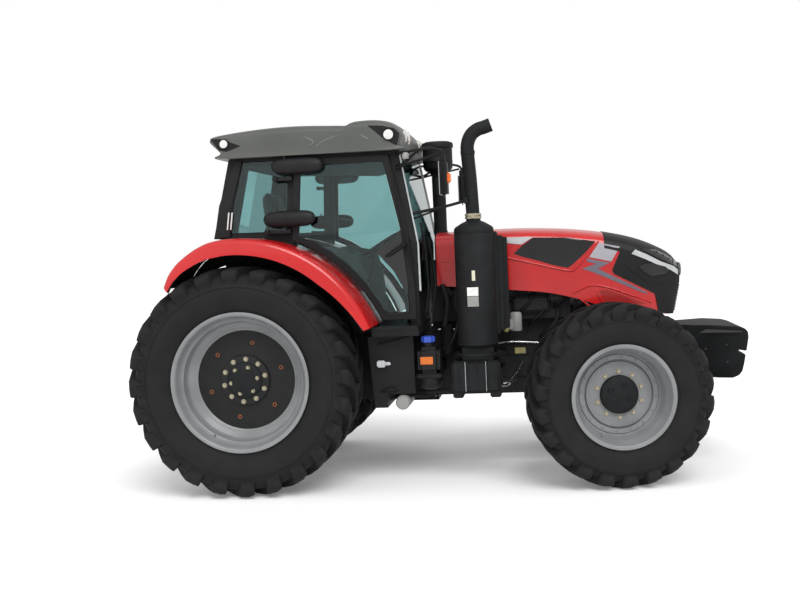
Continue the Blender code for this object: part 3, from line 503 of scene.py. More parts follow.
# %% [markdown]
# ## Wheels
# Every wheel is made at the origin with its outer face towards -Y, as a right-hand
# wheel, and is then moved on to its joint. The left ones are mirrored, which also turns
# the tread's arrow the right way.

# %% Where each wheel goes
JOINTS = {joint["child"]: joint for joint in frame["record"]["behaviour"]["joints"]}


def on_axle(body):
    """The matrix that puts a wheel made at the origin on its joint."""
    joint = JOINTS[body]
    sideways = Vector(joint["axis"]).normalized()
    forward = sideways.cross(Vector((0, 0, 1))).normalized()
    turn = Matrix((forward, sideways, forward.cross(sideways))).transposed().to_4x4()
    return Matrix.Translation(joint["pos_m"]) @ turn


def wheel_piece(name, end, meshes, finish_of, replaced=None):
    """The same piece on the left and right wheels of one axle."""
    for side, sign in SIDES.items():
        body = f"wheel_{end}_{side}"
        mesh = joined(as_list(meshes))
        if sign == LEFT:
            mesh = mirrored(mesh)
        made = piece(f"{name}_{end}_{side}", mesh, finish_of, body,
                     place=on_axle(body))
        if replaced:
            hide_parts(f"{replaced}_{end}_{side}")


# %% [markdown]
# A drive tyre has a carcass and tall slanting lugs. From the side only the lugs' blunt
# ends show, wider at the tread than below, so a lug is lofted through eight sections
# that run from the middle of the tread, over the shoulder and down the side wall. The
# middle of the tread leads when the tractor drives forwards, which throws mud outwards.

# %% Lugs


def lug(radius, half, crown, slant, bar, shoulder):
    """One lug for the outer half of a tyre, running from its middle to its side."""
    deep = radius - crown
    # outward, base radius, top outward, top radius, share of the slant, width
    sections = [(-0.1, crown - 0.01, -0.09, radius - 0.004, -0.1, bar),
                (0.25, crown - 0.01, 0.25, radius, 0.25, bar),
                (0.55, crown - 0.012, 0.55, radius - 0.002, 0.6, bar * 1.05),
                (0.78, crown - 0.025, 0.79, radius - 0.01, 0.88, bar * 1.3),
                (0.86, crown - 0.04, 0.94, radius - 0.03, 0.99, shoulder),
                (0.9, crown - 0.07, 1.0, radius - deep * 0.95, 1.02, shoulder * 0.92),
                (0.93, crown - 0.11, 0.995, radius - deep * 1.65, 1.03, shoulder * 0.78),
                (0.94, crown - 0.12, 0.945, radius - deep * 2.05, 1.03, shoulder * 0.7)]
    work = bmesh.new()
    rings = []
    for base_out, base_r, top_out, top_r, share, width in sections:
        angle = -slant * share / radius
        ring = []
        for out, r, w in ((base_out, base_r, width * 1.18), (top_out, top_r, width)):
            for sign in (-1, 1):
                a = angle + sign * w / 2 / radius
                ring.append(work.verts.new((r * math.sin(a), -out * half,
                                            r * math.cos(a))))
        rings.append([ring[0], ring[1], ring[3], ring[2]])
    edges = [e for e in filled(work, rings).edges if e.calc_face_angle(0) > 0.6]
    bmesh.ops.bevel(work, geom=edges, offset=0.006, segments=1, affect="EDGES",
                    clamp_overlap=True)
    return to_mesh(work, "lug")


def tyre(end, radius, half, bead, lip, crown, lugs, slant, bar, shoulder):
    """A tyre: a turned carcass and two rings of lugs, half a step apart."""
    belly = bead + (radius - bead) * 0.45
    outer = [(bead + 0.001, lip - 0.045), (bead + 0.002, lip), (bead + 0.03, lip + 0.004),
             (bead + 0.055, lip + 0.022), (belly - 0.05, half * 0.955), (belly, half * 0.985),
             (belly + 0.06, half * 0.975), (crown - 0.085, half * 0.94),
             (crown - 0.04, half * 0.87), (crown - 0.016, half * 0.78),
             (crown - 0.004, half * 0.5), (crown, 0)]
    carcass = outer + [(r, -along) for r, along in reversed(outer[:-1])]
    inside = [(bead + 0.02, 0.05 - lip), (belly, 0.05 - half), (crown - 0.06, 0),
              (belly, half - 0.05), (bead + 0.02, lip - 0.05)]
    one = lug(radius, half, crown, slant, bar, shoulder)
    meshes = [lathe(carcass + inside, 96, ring=True), round_axle(one, lugs),
              round_axle(mirrored(one), lugs, math.pi / lugs)]
    rings = [lathe([(r, along), (r + 0.003, along + 0.004), (r + 0.006, along)], 96, ring=True)
             for r, along in ((bead + 0.045, lip + 0.014), (belly + 0.045, half * 0.977))]
    wheel_piece("tyre_tread", end, meshes + rings, RUBBER, "tyre")
    print(end, "tyre:", 2 * lugs, "lugs")


tyre("rear", REAR_Z, 0.3225, 0.5334, 0.252, 0.868, 24, 0.27, 0.062, 0.128)
FRONT_Z = JOINTS["wheel_front_right"]["pos_m"][2]
tyre("front", FRONT_Z, 0.27, 0.381, 0.222, 0.666, 22, 0.23, 0.056, 0.122)

# %% [markdown]
# A rim is rolled from one strip, so a single profile gives the flange, the bead seat,
# the well and the dish. The rear disc is bolted in and painted charcoal; the front disc
# is welded and keeps the rim's grey.

# %% Rims
rear_rim = [(0.559, 0.27), (0.556, 0.262), (0.5335, 0.252), (0.532, 0.2),
            (0.5, 0.15), (0.498, -0.15), (0.532, -0.2), (0.5335, -0.252),
            (0.559, -0.27), (0.555, -0.276), (0.522, -0.262), (0.514, -0.2),
            (0.486, -0.16), (0.484, 0.03), (0.402, 0.04), (0.4, 0.056), (0.418, 0.066),
            (0.436, 0.092), (0.462, 0.1), (0.47, 0.112), (0.478, 0.14), (0.482, 0.18),
            (0.504, 0.196), (0.51, 0.214), (0.516, 0.222), (0.52, 0.256), (0.532, 0.272),
            (0.548, 0.277), (0.557, 0.275)]
front_rim = [(0.407, 0.24), (0.404, 0.232), (0.3815, 0.222), (0.38, 0.175),
             (0.35, 0.13), (0.348, -0.13), (0.38, -0.175), (0.3815, -0.222),
             (0.406, -0.24), (0.403, -0.246), (0.37, -0.232), (0.364, -0.18),
             (0.338, -0.14), (0.336, 0.008), (0.15, 0.01), (0.15, 0.052),
             (0.196, 0.054), (0.24, 0.046), (0.256, 0.044), (0.26, 0.026), (0.268, 0.024),
             (0.274, 0.042), (0.308, 0.048), (0.314, 0.04), (0.322, 0.046), (0.334, 0.06),
             (0.338, 0.11), (0.344, 0.124), (0.348, 0.16), (0.362, 0.176), (0.366, 0.216),
             (0.376, 0.238), (0.394, 0.246), (0.404, 0.245)]
for end, profile in (("rear", rear_rim), ("front", front_rim)):
    wheel_piece("rim_barrel", end, lathe(profile, 96, ring=True), RIM, "rim")
print("rims:", len(rear_rim), "and", len(front_rim), "profile points")

# %% [markdown]
# A wheel bolt is a hexagon with a washer. The hexagon is a lathe with six steps, and the
# tree sets the bolts round the axle.

# %% Wheel discs, hubs and bolts


def bolt(out, reach, across=0.016, washer=0.02):
    """A bolt head on a disc, at a distance from the axle."""
    place = (0, -out, reach)
    return joined([lathe([(0, 0.0), (washer, 0.0), (washer, 0.003), (0, 0.003)], 16, place),
                   lathe([(0, 0.002), (across, 0.002), (across, 0.012),
                          (across * 0.8, 0.015), (0, 0.015)], 6, place)])


rear_disc = lathe([(0.17, 0.04), (0.402, 0.04), (0.402, 0.052), (0.29, 0.06),
                   (0.225, 0.074), (0.17, 0.078)], 96, ring=True)
wheel_piece("disc", "rear", rear_disc, DISC)
hub_ring = lathe([(0.13, 0.06), (0.196, 0.06), (0.204, 0.082), (0.2, 0.1),
                  (0.192, 0.104), (0.13, 0.104)], 64, ring=True)
wheel_piece("hub_ring", "rear", hub_ring, IRON)
rear_cap = lathe([(0, 0.135), (0.06, 0.134), (0.122, 0.128), (0.14, 0.118),
                  (0.143, 0.09), (0, 0.09)], 64)
wheel_piece("hub_cap", "rear", rear_cap, MATT)
wheel_piece("hub_bolts", "rear", [
    round_axle(bolt(0.104, 0.171), 10, 0.1, ZINC),
    round_axle(bolt(0.127, 0.108, 0.013, 0.017), 6, 0.35, ZINC)], ZINC)
eyelet = lathe([(0.01, 0.0), (0.017, 0.0), (0.017, 0.006), (0.01, 0.006)], 20,
               (0, -0.057, 0.305), ring=True)
wheel_piece("disc_eyelets", "rear", round_axle(eyelet, 6, 0.22, RUST), RUST)
front_cap = lathe([(0, 0.094), (0.132, 0.094), (0.146, 0.086), (0.151, 0.06),
                   (0.151, 0.045), (0, 0.045)], 64)
dimple = lathe([(0.01, 0.0), (0.022, 0.0), (0.024, 0.004), (0.02, 0.008),
                (0.012, 0.006)], 20, (0, -0.092, 0.082), ring=True)
wheel_piece("hub_cap", "front", [front_cap, round_axle(dimple, 4, 0.5, MATT)], MATT)
wheel_piece("hub_bolts", "front", round_axle(bolt(0.052, 0.18, 0.015, 0.019), 10, 0.0,
                                             ZINC), ZINC)
rivet = lathe([(0, 0.006), (0.006, 0.005), (0.009, 0.0), (0, 0.0)], 12,
              (0, -0.046, 0.292))
wheel_piece("disc_rivets", "front", round_axle(rivet, 16, 0.1, RIM), RIM)
for end, reach, out in (("rear", 0.5, 0.19), ("front", 0.352, 0.15)):
    a = math.radians(210)
    foot = Vector((reach * math.sin(a), -out, reach * math.cos(a)))
    valve = tube([foot, foot * 0.955 + Vector((0, -0.012, 0)),
                  foot * 0.94 + Vector((0, -0.045, 0))], 0.006, 10)
    clip = lathe([(0, 0.0), (0.016, 0.0), (0.012, 0.01), (0, 0.01)], 12, foot)
    wheel_piece("valve", end, [valve, clip], RIM)
print("bolts, caps and valves on four wheels")

# %% [markdown]
# ## The bonnet
# The bonnet is one pressed skin that drops towards the nose. It is lofted through
# stations, each with a half width, a lower edge, a shoulder and a crown; between the
# stations a smooth curve fills in. The section is upright up to the shoulder and then a
# squared-off arch, so `skin_y` can also say how far out the skin is at any point of the
# side. Panels, stripes and lamps use that to lie on it.

# %% The skin's sections
# x, half width, lower edge, shoulder, crown
STATIONS = [(1.51, 0.42, 1.59, 1.94, 2.036), (1.85, 0.427, 1.56, 1.95, 2.044),
            (2.2, 0.43, 1.525, 1.945, 2.045), (2.45, 0.43, 1.495, 1.925, 2.034),
            (2.7, 0.43, 1.43, 1.895, 2.012), (2.95, 0.43, 1.345, 1.85, 1.972),
            (3.2, 0.418, 1.315, 1.765, 1.905), (3.4, 0.362, 1.285, 1.655, 1.812),
            (3.48, 0.322, 1.28, 1.59, 1.75), (3.515, 0.29, 1.28, 1.545, 1.7)]
ARCH = 2.6


def section(x):
    """Half width, lower edge, shoulder and crown of the bonnet at x."""
    x = min(max(x, STATIONS[0][0]), STATIONS[-1][0])
    k = max(i for i in range(len(STATIONS) - 1) if STATIONS[i][0] <= x)
    a, b = STATIONS[k], STATIONS[k + 1]
    before, after = STATIONS[max(k - 1, 0)], STATIONS[min(k + 2, len(STATIONS) - 1)]
    span = b[0] - a[0]
    t = (x - a[0]) / span
    out = []
    for i in range(1, 5):
        one = (b[i] - before[i]) / (b[0] - before[0]) * span
        two = (after[i] - a[i]) / (after[0] - a[0]) * span
        out.append((2 * t ** 3 - 3 * t ** 2 + 1) * a[i] + (t ** 3 - 2 * t ** 2 + t) * one
                   + (3 * t ** 2 - 2 * t ** 3) * b[i] + (t ** 3 - t ** 2) * two)
    return out


def skin_y(x, z):
    """How far out the bonnet's side is at x and z."""
    half, _, shoulder, crown = section(x)
    if z <= shoulder:
        return half
    share = min(1.0, (z - shoulder) / (crown - shoulder))
    return half * (1 - share ** ARCH) ** (1 / ARCH)


def nose_back(x, z):
    """The nose leans back below the lamps."""
    return x - 0.22 * max(0.0, 1.56 - z) * max(0.0, (x - 3.25) / 0.265)


def arch_ring(x, lift=0.0, low_share=0.0, sides=7, turns=13):
    """Points over the bonnet at x, from the right lower edge to the left one."""
    half, low, shoulder, crown = section(x)
    half, crown = half + lift, crown + lift
    ring = []
    for k in range(sides):
        z = low + (shoulder - low) * (low_share + (1 - low_share) * k / sides)
        ring.append((nose_back(x, z), -half, z))
    for k in range(turns):
        a = math.pi * k / (turns - 1)
        c, s = math.cos(a), math.sin(a)
        z = shoulder + (crown - shoulder) * abs(s) ** (2 / ARCH)
        y = -half * math.copysign(abs(c) ** (2 / ARCH), c)
        ring.append((nose_back(x, z), y, z))
    return ring + [(p[0], -p[1], p[2]) for p in reversed(ring[:sides])]


def loft(rings, cap=False, thickness=0.01):
    """A skin through rings of points, given a wall that grows inwards."""
    work = bmesh.new()
    rows = [[work.verts.new(p) for p in ring] for ring in rings]
    bridge(work, rows, closed=False)
    if cap:
        middle = sum((v.co for v in rows[-1]), Vector()) / len(rows[-1])
        nose = [rows[-1]]
        for share, push in ((0.75, 0.012), (0.45, 0.018), (0.15, 0.02)):
            nose.append([work.verts.new(middle + (v.co - middle) * share
                                        + Vector((push, 0, 0))) for v in rows[-1]])
        bridge(work, nose)
        work.faces.new(nose[-1])
    bmesh.ops.remove_doubles(work, verts=work.verts, dist=1e-5)
    bmesh.ops.recalc_face_normals(work, faces=work.faces)
    seen = sum(f.normal.z * f.calc_area() for f in work.faces)
    if seen < 0:
        bmesh.ops.reverse_faces(work, faces=work.faces)
    bmesh.ops.solidify(work, geom=list(work.faces), thickness=thickness)
    bmesh.ops.recalc_face_normals(work, faces=work.faces)
    return to_mesh(work, "loft")


# %% The red skin and the black nose
xs = [1.51 + 0.0485 * k for k in range(30)] + [2.95]
red = loft([arch_ring(x) for x in xs])
bonnet = piece("bonnet_skin", red, RED, "bonnet")
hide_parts("bonnet")
xs = [2.951 + 0.0434 * k for k in range(13)] + [3.515]
nose = loft([arch_ring(x) for x in xs], cap=True)
front = piece("nose_skin", nose, RED, "bonnet")
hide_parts("grille")
cap = bmesh.new()
cap.from_mesh(nose)
bmesh.ops.delete(cap, geom=[f for f in cap.faces if f.normal.x < 0.55], context="FACES")
bmesh.ops.translate(cap, vec=(0.003, 0, 0), verts=cap.verts)
moved_copy(cap, (-0.002, 0, 0))
piece("nose_face", to_mesh(cap, "nose_face"), MOULDED, "bonnet")
print("bonnet from", round(xs[0], 2), "to", xs[-1])

# %% [markdown]
# Side panels and stripes are flat outlines laid on the curved skin. Each outline is
# filled, cut into small faces, and every point is then pushed out to the skin. A
# Shrinkwrap modifier would do the same, but it slides points sideways at the edges.

# %% A panel that lies on the skin


def on_skin(outline, lift, thickness=0.004, mesh_size=0.035):
    """An (x, z) outline laid on the bonnet's right side, lift above the skin."""
    work = bmesh.new()
    work.faces.new([work.verts.new((x, 0, z)) for x, z in outline])
    for axis, lo, hi in ((0, min(p[0] for p in outline), max(p[0] for p in outline)),
                         (2, min(p[1] for p in outline), max(p[1] for p in outline))):
        steps = max(1, int((hi - lo) / mesh_size))
        for k in range(1, steps):
            point, normal = Vector(), Vector()
            point[axis], normal[axis] = lo + (hi - lo) * k / steps, 1
            bmesh.ops.bisect_plane(work, geom=work.verts[:] + work.edges[:] + work.faces[:],
                                   plane_co=point, plane_no=normal)
    bmesh.ops.triangulate(work, faces=work.faces[:])
    for v in work.verts:
        x, _, z = v.co
        v.co = Vector((nose_back(x, z), RIGHT * (skin_y(x, z) + lift - thickness), z))
    moved_copy(work, (0, RIGHT * thickness, 0))
    return to_mesh(work, "panel")


def both_sides(outline, lift, **more):
    """The panel on the right and on the left."""
    return pairs([on_skin(outline, lift, **more)])


# %% Windows, stripes and the nose cover
NOSE_EDGE = [(3.04, 1.842), (3.02, 1.79), (2.962, 1.665), (2.976, 1.632), (3.307, 1.453),
             (3.35, 1.29), (3.505, 1.29), (3.512, 1.54), (3.47, 1.592), (3.4, 1.648),
             (3.3, 1.708), (3.2, 1.762), (3.12, 1.8)]
cover = [loft([arch_ring(x, 0.005, 0.97, 1) for x in
               [2.905 + 0.0436 * k for k in range(15)]], thickness=0.004)]
cover += both_sides(NOSE_EDGE, 0.0055, thickness=0.005)
piece("nose_cover", cover, MOULDED, "bonnet")
WINDOW = [(2.165, 1.832), (2.235, 1.895), (2.33, 1.958), (2.6, 1.946), (2.835, 1.905),
          (2.745, 1.812), (2.65, 1.728), (2.605, 1.697), (2.48, 1.726), (2.378, 1.762),
          (2.24, 1.803)]
piece("bonnet_side_window", both_sides(WINDOW, 0.004), GLOSS_BLACK, "bonnet")
BLANK = [(2.862, 1.89), (3.03, 1.853), (2.958, 1.733), (2.78, 1.778)]
piece("blank_side_plate", both_sides(BLANK, 0.0035), PLATE, "bonnet")
ZIGZAG = [(2.762, 1.768), (2.944, 1.724), (2.846, 1.68), (3.244, 1.466), (3.232, 1.456),
          (2.807, 1.652), (2.716, 1.684), (2.836, 1.72), (2.76, 1.742)]
piece("side_stripe", both_sides(ZIGZAG, 0.003), STRIPE, "bonnet")
WEDGE = [(2.11, 1.968), (2.33, 1.964), (2.232, 1.905), (2.11, 1.922)]
piece("vent_wedge", both_sides(WEDGE, 0.004), SILVER, "bonnet")
print("panels laid on both sides of the bonnet")

# %% [markdown]
# Pressed creases are thin raised bars of the same red, laid over the skin; the scoop
# above the front wheel is a panel between two of them in a darker red, painted shade
# for its recess on the lower bonnet. They could be cut into the skin, but raised bars
# keep the skin's grid simple and catch the same light.

# %% Creases and scoop


def crease(points, radius):
    """A raised bar along (x, z) points of the skin, on both sides."""
    return pairs([tube([(nose_back(x, z), -skin_y(x, z) - 0.001, z) for x, z in points],
                       radius, 10, 5)])


lines = crease([(2.11, 1.8), (2.3, 1.752), (2.59, 1.676), (2.665, 1.688),
                (2.76, 1.79), (2.86, 1.905)], 0.008)
lines += crease([(2.64, 1.486), (2.72, 1.522), (2.803, 1.545), (2.939, 1.517),
                 (3.1, 1.455), (3.273, 1.385)], 0.007)
lines += crease([(1.54, 1.792), (1.7, 1.788), (2.11, 1.8)], 0.005)
lines += crease([(2.69, 1.44), (2.78, 1.372), (2.9, 1.352)], 0.006)
piece("bonnet_creases", lines, RED, "bonnet")
SCOOP = [(2.826, 1.494), (2.905, 1.506), (3.06, 1.446), (3.225, 1.378), (3.06, 1.366),
         (2.885, 1.38)]
# painted shade: the scoop's darker red stands for the shade in its recess
piece("bonnet_scoop", both_sides(SCOOP, 0.0015, thickness=0.003), SHADED_RED, "bonnet")
LIP = [(2.826, 1.494), (2.846, 1.497), (2.905, 1.38), (2.885, 1.376)]
piece("scoop_lip", both_sides(LIP, 0.01, thickness=0.009), RED, "bonnet")
shut = [tube([(1.514, y, z) for x, y, z in arch_ring(1.512, -0.004)], 0.006, 8, 0)]
piece("bonnet_rear_seal", shut, MATT, "bonnet")
print("creases and scoop done")

# %% [markdown]
# The headlamps wrap round the nose: a bright strip, a smoked glass above it and a dark
# pod below. They are laid on the skin like the panels, only prouder.

# %% Headlamps and grille
STRIP = [(3.121, 1.79), (3.152, 1.822), (3.25, 1.778), (3.36, 1.716), (3.47, 1.672),
         (3.505, 1.64), (3.5, 1.6), (3.44, 1.642), (3.35, 1.682), (3.24, 1.738)]
piece("headlamp_strip", both_sides(STRIP, 0.013, thickness=0.008, mesh_size=0.025), SILVER,
      "bonnet")
SMOKED = [(3.196, 1.832), (3.33, 1.812), (3.42, 1.765), (3.49, 1.712), (3.502, 1.668),
          (3.36, 1.732), (3.256, 1.79)]
piece("headlamp_glass", both_sides(SMOKED, 0.01, thickness=0.006, mesh_size=0.025),
      GLOSS_BLACK, "bonnet")
pod = [(3.172, 1.682), (3.215, 1.7), (3.285, 1.707), (3.396, 1.672), (3.43, 1.64),
       (3.394, 1.612), (3.281, 1.598), (3.215, 1.64)]
piece("lamp_pod", both_sides(pod, 0.016, thickness=0.012, mesh_size=0.03), GLOSS_BLACK,
      "bonnet")
hollow = [(3.06, 1.7), (3.15, 1.69), (3.3, 1.59), (3.48, 1.56), (3.48, 1.535),
          (3.25, 1.545)]
piece("nose_fold", both_sides(hollow, 0.01, thickness=0.008), MOULDED, "bonnet")
beam = [lathe([(0, 0.034), (0.05, 0.03), (0.06, 0.018), (0.06, 0), (0, 0)], 32,
              (3.51, y, 1.64), "+X") for y in (-0.15, 0.15)]
piece("front_lamps", beam, LENS, "bonnet")
BARS = 17
bar = block((3.497, -0.23, 1.3), (3.512, 0.23, 1.307), 0.001)
bars = in_row(bar, BARS, (0.0, 0.0, 0.013), MATT)
leaned = bmesh.new()
leaned.from_mesh(bars)
for v in leaned.verts:
    v.co.x = nose_back(v.co.x, v.co.z) + 0.022
piece("grille_bars", to_mesh(leaned, "bars"), MATT, "bonnet")
print("lamps and", BARS, "grille bars")

# %% [markdown]
# ## Mudguards
# A mudguard is a strip bent along an arc that tucks in behind the wheel. Its outer edge
# is rolled down into a skirt, deepest over the axle and nearly gone at both tips. The
# path is given in angles round the axle, so the section can be swept with plain loops.
# A matt black copy under the skin is painted shade for the red mudguard's shaded
# underside, and a matt black sheet below it, closing the gap over the tread behind the
# cab, is painted shade for the dark wheel arch.

# %% Mudguards
TIPS = (20.5, 126.4)
RADII = [(20.5, 1.135), (95, 1.135), (101, 1.128), (106.2, 1.11), (115.5, 1.066),
         (121.5, 1.022), (126.4, 0.968)]


def guard_radius(angle):
    """The mudguard's outer radius at an angle in degrees."""
    for (a, r), (b, s) in zip(RADII, RADII[1:]):
        if angle <= b:
            return r + (s - r) * (angle - a) / (b - a)
    return RADII[-1][1]


def guard(inner, outer, wall, skirt, drop=0.0, steps=72):
    """A swept mudguard; wall grows inwards from the outer radius."""
    work = bmesh.new()
    rows = []
    for k in range(steps + 1):
        share = k / steps
        angle = math.radians(TIPS[0] + (TIPS[1] - TIPS[0]) * share)
        r = guard_radius(math.degrees(angle)) - drop
        deep = 0.012 + skirt * min(1.0, (math.sin(math.pi * share) * 1.35)) ** 0.8
        shape = [(inner, r), (outer - 0.06, r), (outer - 0.026, r - 0.006),
                 (outer - 0.008, r - 0.02), (outer, r - 0.042), (outer, r - 0.042 - deep),
                 (outer - wall, r - 0.042 - deep), (outer - wall, r - 0.046),
                 (outer - 0.034, r - wall - 0.012), (outer - 0.066, r - wall),
                 (inner, r - wall)]
        rows.append([work.verts.new((rr * math.cos(angle), -y,
                                     REAR_Z + rr * math.sin(angle))) for y, rr in shape])
    return to_mesh(filled(work, rows), "guard")


skin = guard(0.592, 1.26, 0.01, 0.075)
# painted shade: a matt black copy just under the red skin stands for the shade on the
# mudguard's underside
shaded_underside = guard(0.596, 1.246, 0.01, 0.05, drop=0.0145)
SHADE_SHEET_FOOT, SHADE_SHEET_DROP = 0.95, 0.03    # the painted-shade sheet ends above the tread and below the skin
arc = [math.radians(a) for a in range(94, 125, 4)]
reaches = [(guard_radius(math.degrees(a)) - SHADE_SHEET_DROP, a) for a in arc]
reaches += [(SHADE_SHEET_FOOT, a) for a in reversed(arc)]
# painted shade: a matt black sheet in the wheel arch, between the tread and the skin
shade_sheet = slab([(r * math.cos(a), REAR_Z + r * math.sin(a)) for r, a in reaches], -0.612, -0.598)
side_piece("mudguard", skin, RED, replaced="fender")
# painted shade: the black underside and sheet stand for the shade under the red mudguard
side_piece("mudguard_painted_shade", [shaded_underside, shade_sheet], MATT)
print("mudguards swept over", round(TIPS[1] - TIPS[0]), "degrees")

# %% [markdown]
# ## The roof
# The roof is a moulded shell that is fullest along the middle and rolls under at both
# sides. The same outline, drawn in side view, is scaled a little at stations across the
# cab, which gives the rolled edge without any modelling by hand.

# %% Roof shell
ROOF_LINE = [(-0.11, 2.704), (-0.165, 2.752), (-0.235, 2.835), (-0.252, 2.875),
             (-0.225, 2.912), (-0.06, 2.942), (0.2, 2.966), (0.48, 2.972),
             (0.8, 2.955), (0.87, 2.952), (0.935, 2.982), (1.08, 2.988),
             (1.19, 2.97), (1.27, 2.925), (1.318, 2.865), (1.33, 2.81),
             (1.31, 2.74), (1.265, 2.704)]
MIDDLE = Vector((0.54, 0, 2.78))
ROOF_FOOT = 2.704


def roof_ring(y, wide, tall):
    """The roof's outline at y, scaled in width and above its middle in height."""
    out = []
    for x, z in smooth_outline(ROOF_LINE, 4):
        rise = MIDDLE.z + (z - MIDDLE.z) * (tall if z > MIDDLE.z else 1.0)
        out.append((MIDDLE.x + (x - MIDDLE.x) * wide, y, max(rise, ROOF_FOOT)))
    return out


def smooth_outline(outline, steps):
    """A closed outline with a curve through its points."""
    count = len(outline)
    out = []
    for k in range(count):
        around = [Vector(outline[(k + i - 1) % count]) for i in range(4)]
        out += [tuple(curve_point(*around, i / steps)) for i in range(steps)]
    return out


ACROSS = [(0.9, 0.95, 0.52), (0.896, 0.97, 0.64), (0.88, 0.985, 0.74),
          (0.85, 0.996, 0.8), (0.78, 1.0, 0.86), (0.6, 1.0, 0.94),
          (0.3, 1.0, 0.99), (0.0, 1.0, 1.0)]
stations = [(-y, w, t) for y, w, t in ACROSS] + [(y, w, t) for y, w, t in ACROSS[-2::-1]]
work = bmesh.new()
rows = [[work.verts.new(p) for p in roof_ring(*station)] for station in stations]
roof = piece("roof_shell", to_mesh(filled(work, rows), "roof"), ROOF, "chassis",
             sharp=50)
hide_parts("cab_roof")
print("roof lofted through", len(stations), "stations")

# %% [markdown]
# Work lamps sit in dark corners of the roof. A lamp is a bowl, a lens and a rim, all
# turned; the dark corners are slabs that stand just proud of the roof's side.

# %% Roof corners and lamps


def round_lamp(x, z, radius, y):
    """The bowl, lens and rim of a work lamp on the cab's right side."""
    bowl = lathe([(0, 0.004), (radius * 0.55, 0.006), (radius * 0.9, 0.012),
                  (radius * 0.9, 0.0), (0, 0.0)], 32, (x, -y + 0.012, z))
    lens = lathe([(0, 0.016), (radius * 0.6, 0.014), (radius * 0.95, 0.009),
                  (radius * 0.95, 0.006), (0, 0.006)], 32, (x, -y + 0.004, z))
    rim = lathe([(radius * 0.92, 0.0), (radius * 0.92, 0.012), (radius * 1.08, 0.014),
                 (radius * 1.16, 0.004), (radius * 1.16, 0.0)], 32, (x, -y + 0.004, z),
                ring=True)
    return bowl, lens, rim


FRONT_CORNER = [(1.06, 2.905), (1.18, 2.898), (1.27, 2.872), (1.312, 2.83),
                (1.3, 2.77), (1.285, 2.735), (1.19, 2.79)]
REAR_CORNER = [(-0.228, 2.868), (-0.15, 2.866), (0.02, 2.8), (-0.1, 2.76),
               (-0.165, 2.775)]
corners = pairs([slab(shape, -0.9045, -0.85, 0.004)
                 for shape in (FRONT_CORNER, REAR_CORNER)])
bowls, lenses, rims = (pairs(kind) for kind in zip(round_lamp(1.225, 2.825, 0.043, 0.9045),
                                                   round_lamp(-0.12, 2.822, 0.036, 0.9045)))
piece("roof_corners", corners, MOULDED, "chassis")
piece("roof_lamp_bowls", bowls, LAMP, "chassis")
piece("roof_lamp_glasses", lenses, PEARL, "chassis")
piece("roof_lamp_rims", rims, MOULDED, "chassis")
front_lamps = [lathe([(0, 0.02), (0.045, 0.018), (0.055, 0.008), (0.055, 0.0), (0, 0.0)],
                     28, (1.318, y, 2.835), "+X") for y in (-0.62, -0.4, 0.4, 0.62)]
piece("roof_front_lamps", front_lamps, LAMP, "chassis")
crease_line = tube([(0.3, -0.893, 2.868), (0.47, -0.893, 2.866), (0.56, -0.895, 2.838),
                    (0.615, -0.899, 2.8), (0.58, -0.902, 2.765)], 0.006, 8)
second = tube([(0.64, -0.9, 2.765), (0.72, -0.898, 2.812), (0.93, -0.893, 2.862),
               (1.06, -0.899, 2.8)], 0.005, 8)
piece("roof_creases", pairs([crease_line, second]), GREY_LINE, "chassis")
print(len(rims), "corner lamps and", len(front_lamps), "front lamps")

# %% [markdown]
# ## Doors
# Each door is a frame cut from plate round its window, with two rounded pods over its
# hinges. The cab's sides lean in above the waist, so every piece on them is drawn
# upright and then sheared by `lean`.

# %% Doors
WAIST, LEAN, SIDE = 2.03, 0.0875, 0.86


def lean(mesh):
    """Shear a mesh inwards with height, as the cab's sides go."""
    for vertex in mesh.vertices:
        vertex.co.y -= math.copysign(LEAN * (vertex.co.z - WAIST), vertex.co.y)
    return mesh


def inset(outline, margin):
    """A clockwise or anticlockwise outline moved in by margin."""
    count = len(outline)
    area = sum(outline[k][0] * outline[(k + 1) % count][1]
               - outline[(k + 1) % count][0] * outline[k][1] for k in range(count))
    lines = []
    for k in range(count):
        here, there = Vector(outline[k]), Vector(outline[(k + 1) % count])
        along = (there - here).normalized()
        lines.append((here + Vector((-along.y, along.x)) * math.copysign(margin, area), along))
    out = []
    for k in range(count):
        (p, d), (q, e) = lines[k - 1], lines[k]
        bend = d.x * e.y - d.y * e.x
        out.append(tuple(q) if abs(bend) < 1e-6 else
                   tuple(p + d * (((q.x - p.x) * e.y - (q.y - p.y) * e.x) / bend)))
    return out


ARC_R = 1.17
DOOR_ARC = [math.radians(a) for a in (69.9, 61.6, 53.2, 44.9, 36.6, 28.2)]
DOOR_EDGE = [(ARC_R * math.cos(a), REAR_Z + ARC_R * math.sin(a)) for a in DOOR_ARC]
DOOR_EDGE += [(1.1, 1.345), (1.38, 1.345), (1.38, 1.62), (1.34, 2.08),
              (1.205, 2.675), (0.437, 2.675)]
face = SIDE + 0.006 + 0.03
door = lean(slab(DOOR_EDGE, -face, -face + 0.03, 0.004, [inset(DOOR_EDGE, 0.056)]))
POD_R, POD_LONG, POD_BEHIND, POD_FLAT = 0.065, 0.435, 0.05, 0.62
pod_y = -face - 0.034
pods, seams = [], []
for z in (2.196, 2.62):
    x = 0.197 + 0.178 * (z - WAIST)
    shell = lathe([(POD_R * (1 - abs(k / 12 - 1) ** 5) ** 0.5, POD_LONG * k / 24 - POD_BEHIND)
                   for k in range(25)], 32, (x, pod_y, z), "+X")
    for v in shell.vertices:
        v.co.y = pod_y + POD_FLAT * (v.co.y - pod_y)
    pods.append(lean(shell))
    pin = (x + 0.063, -face - 0.03 + LEAN * (z - WAIST))
    seams.append(tube([(*pin, z + 0.05), (*pin, z + 0.085)], 0.007, 10, 0))
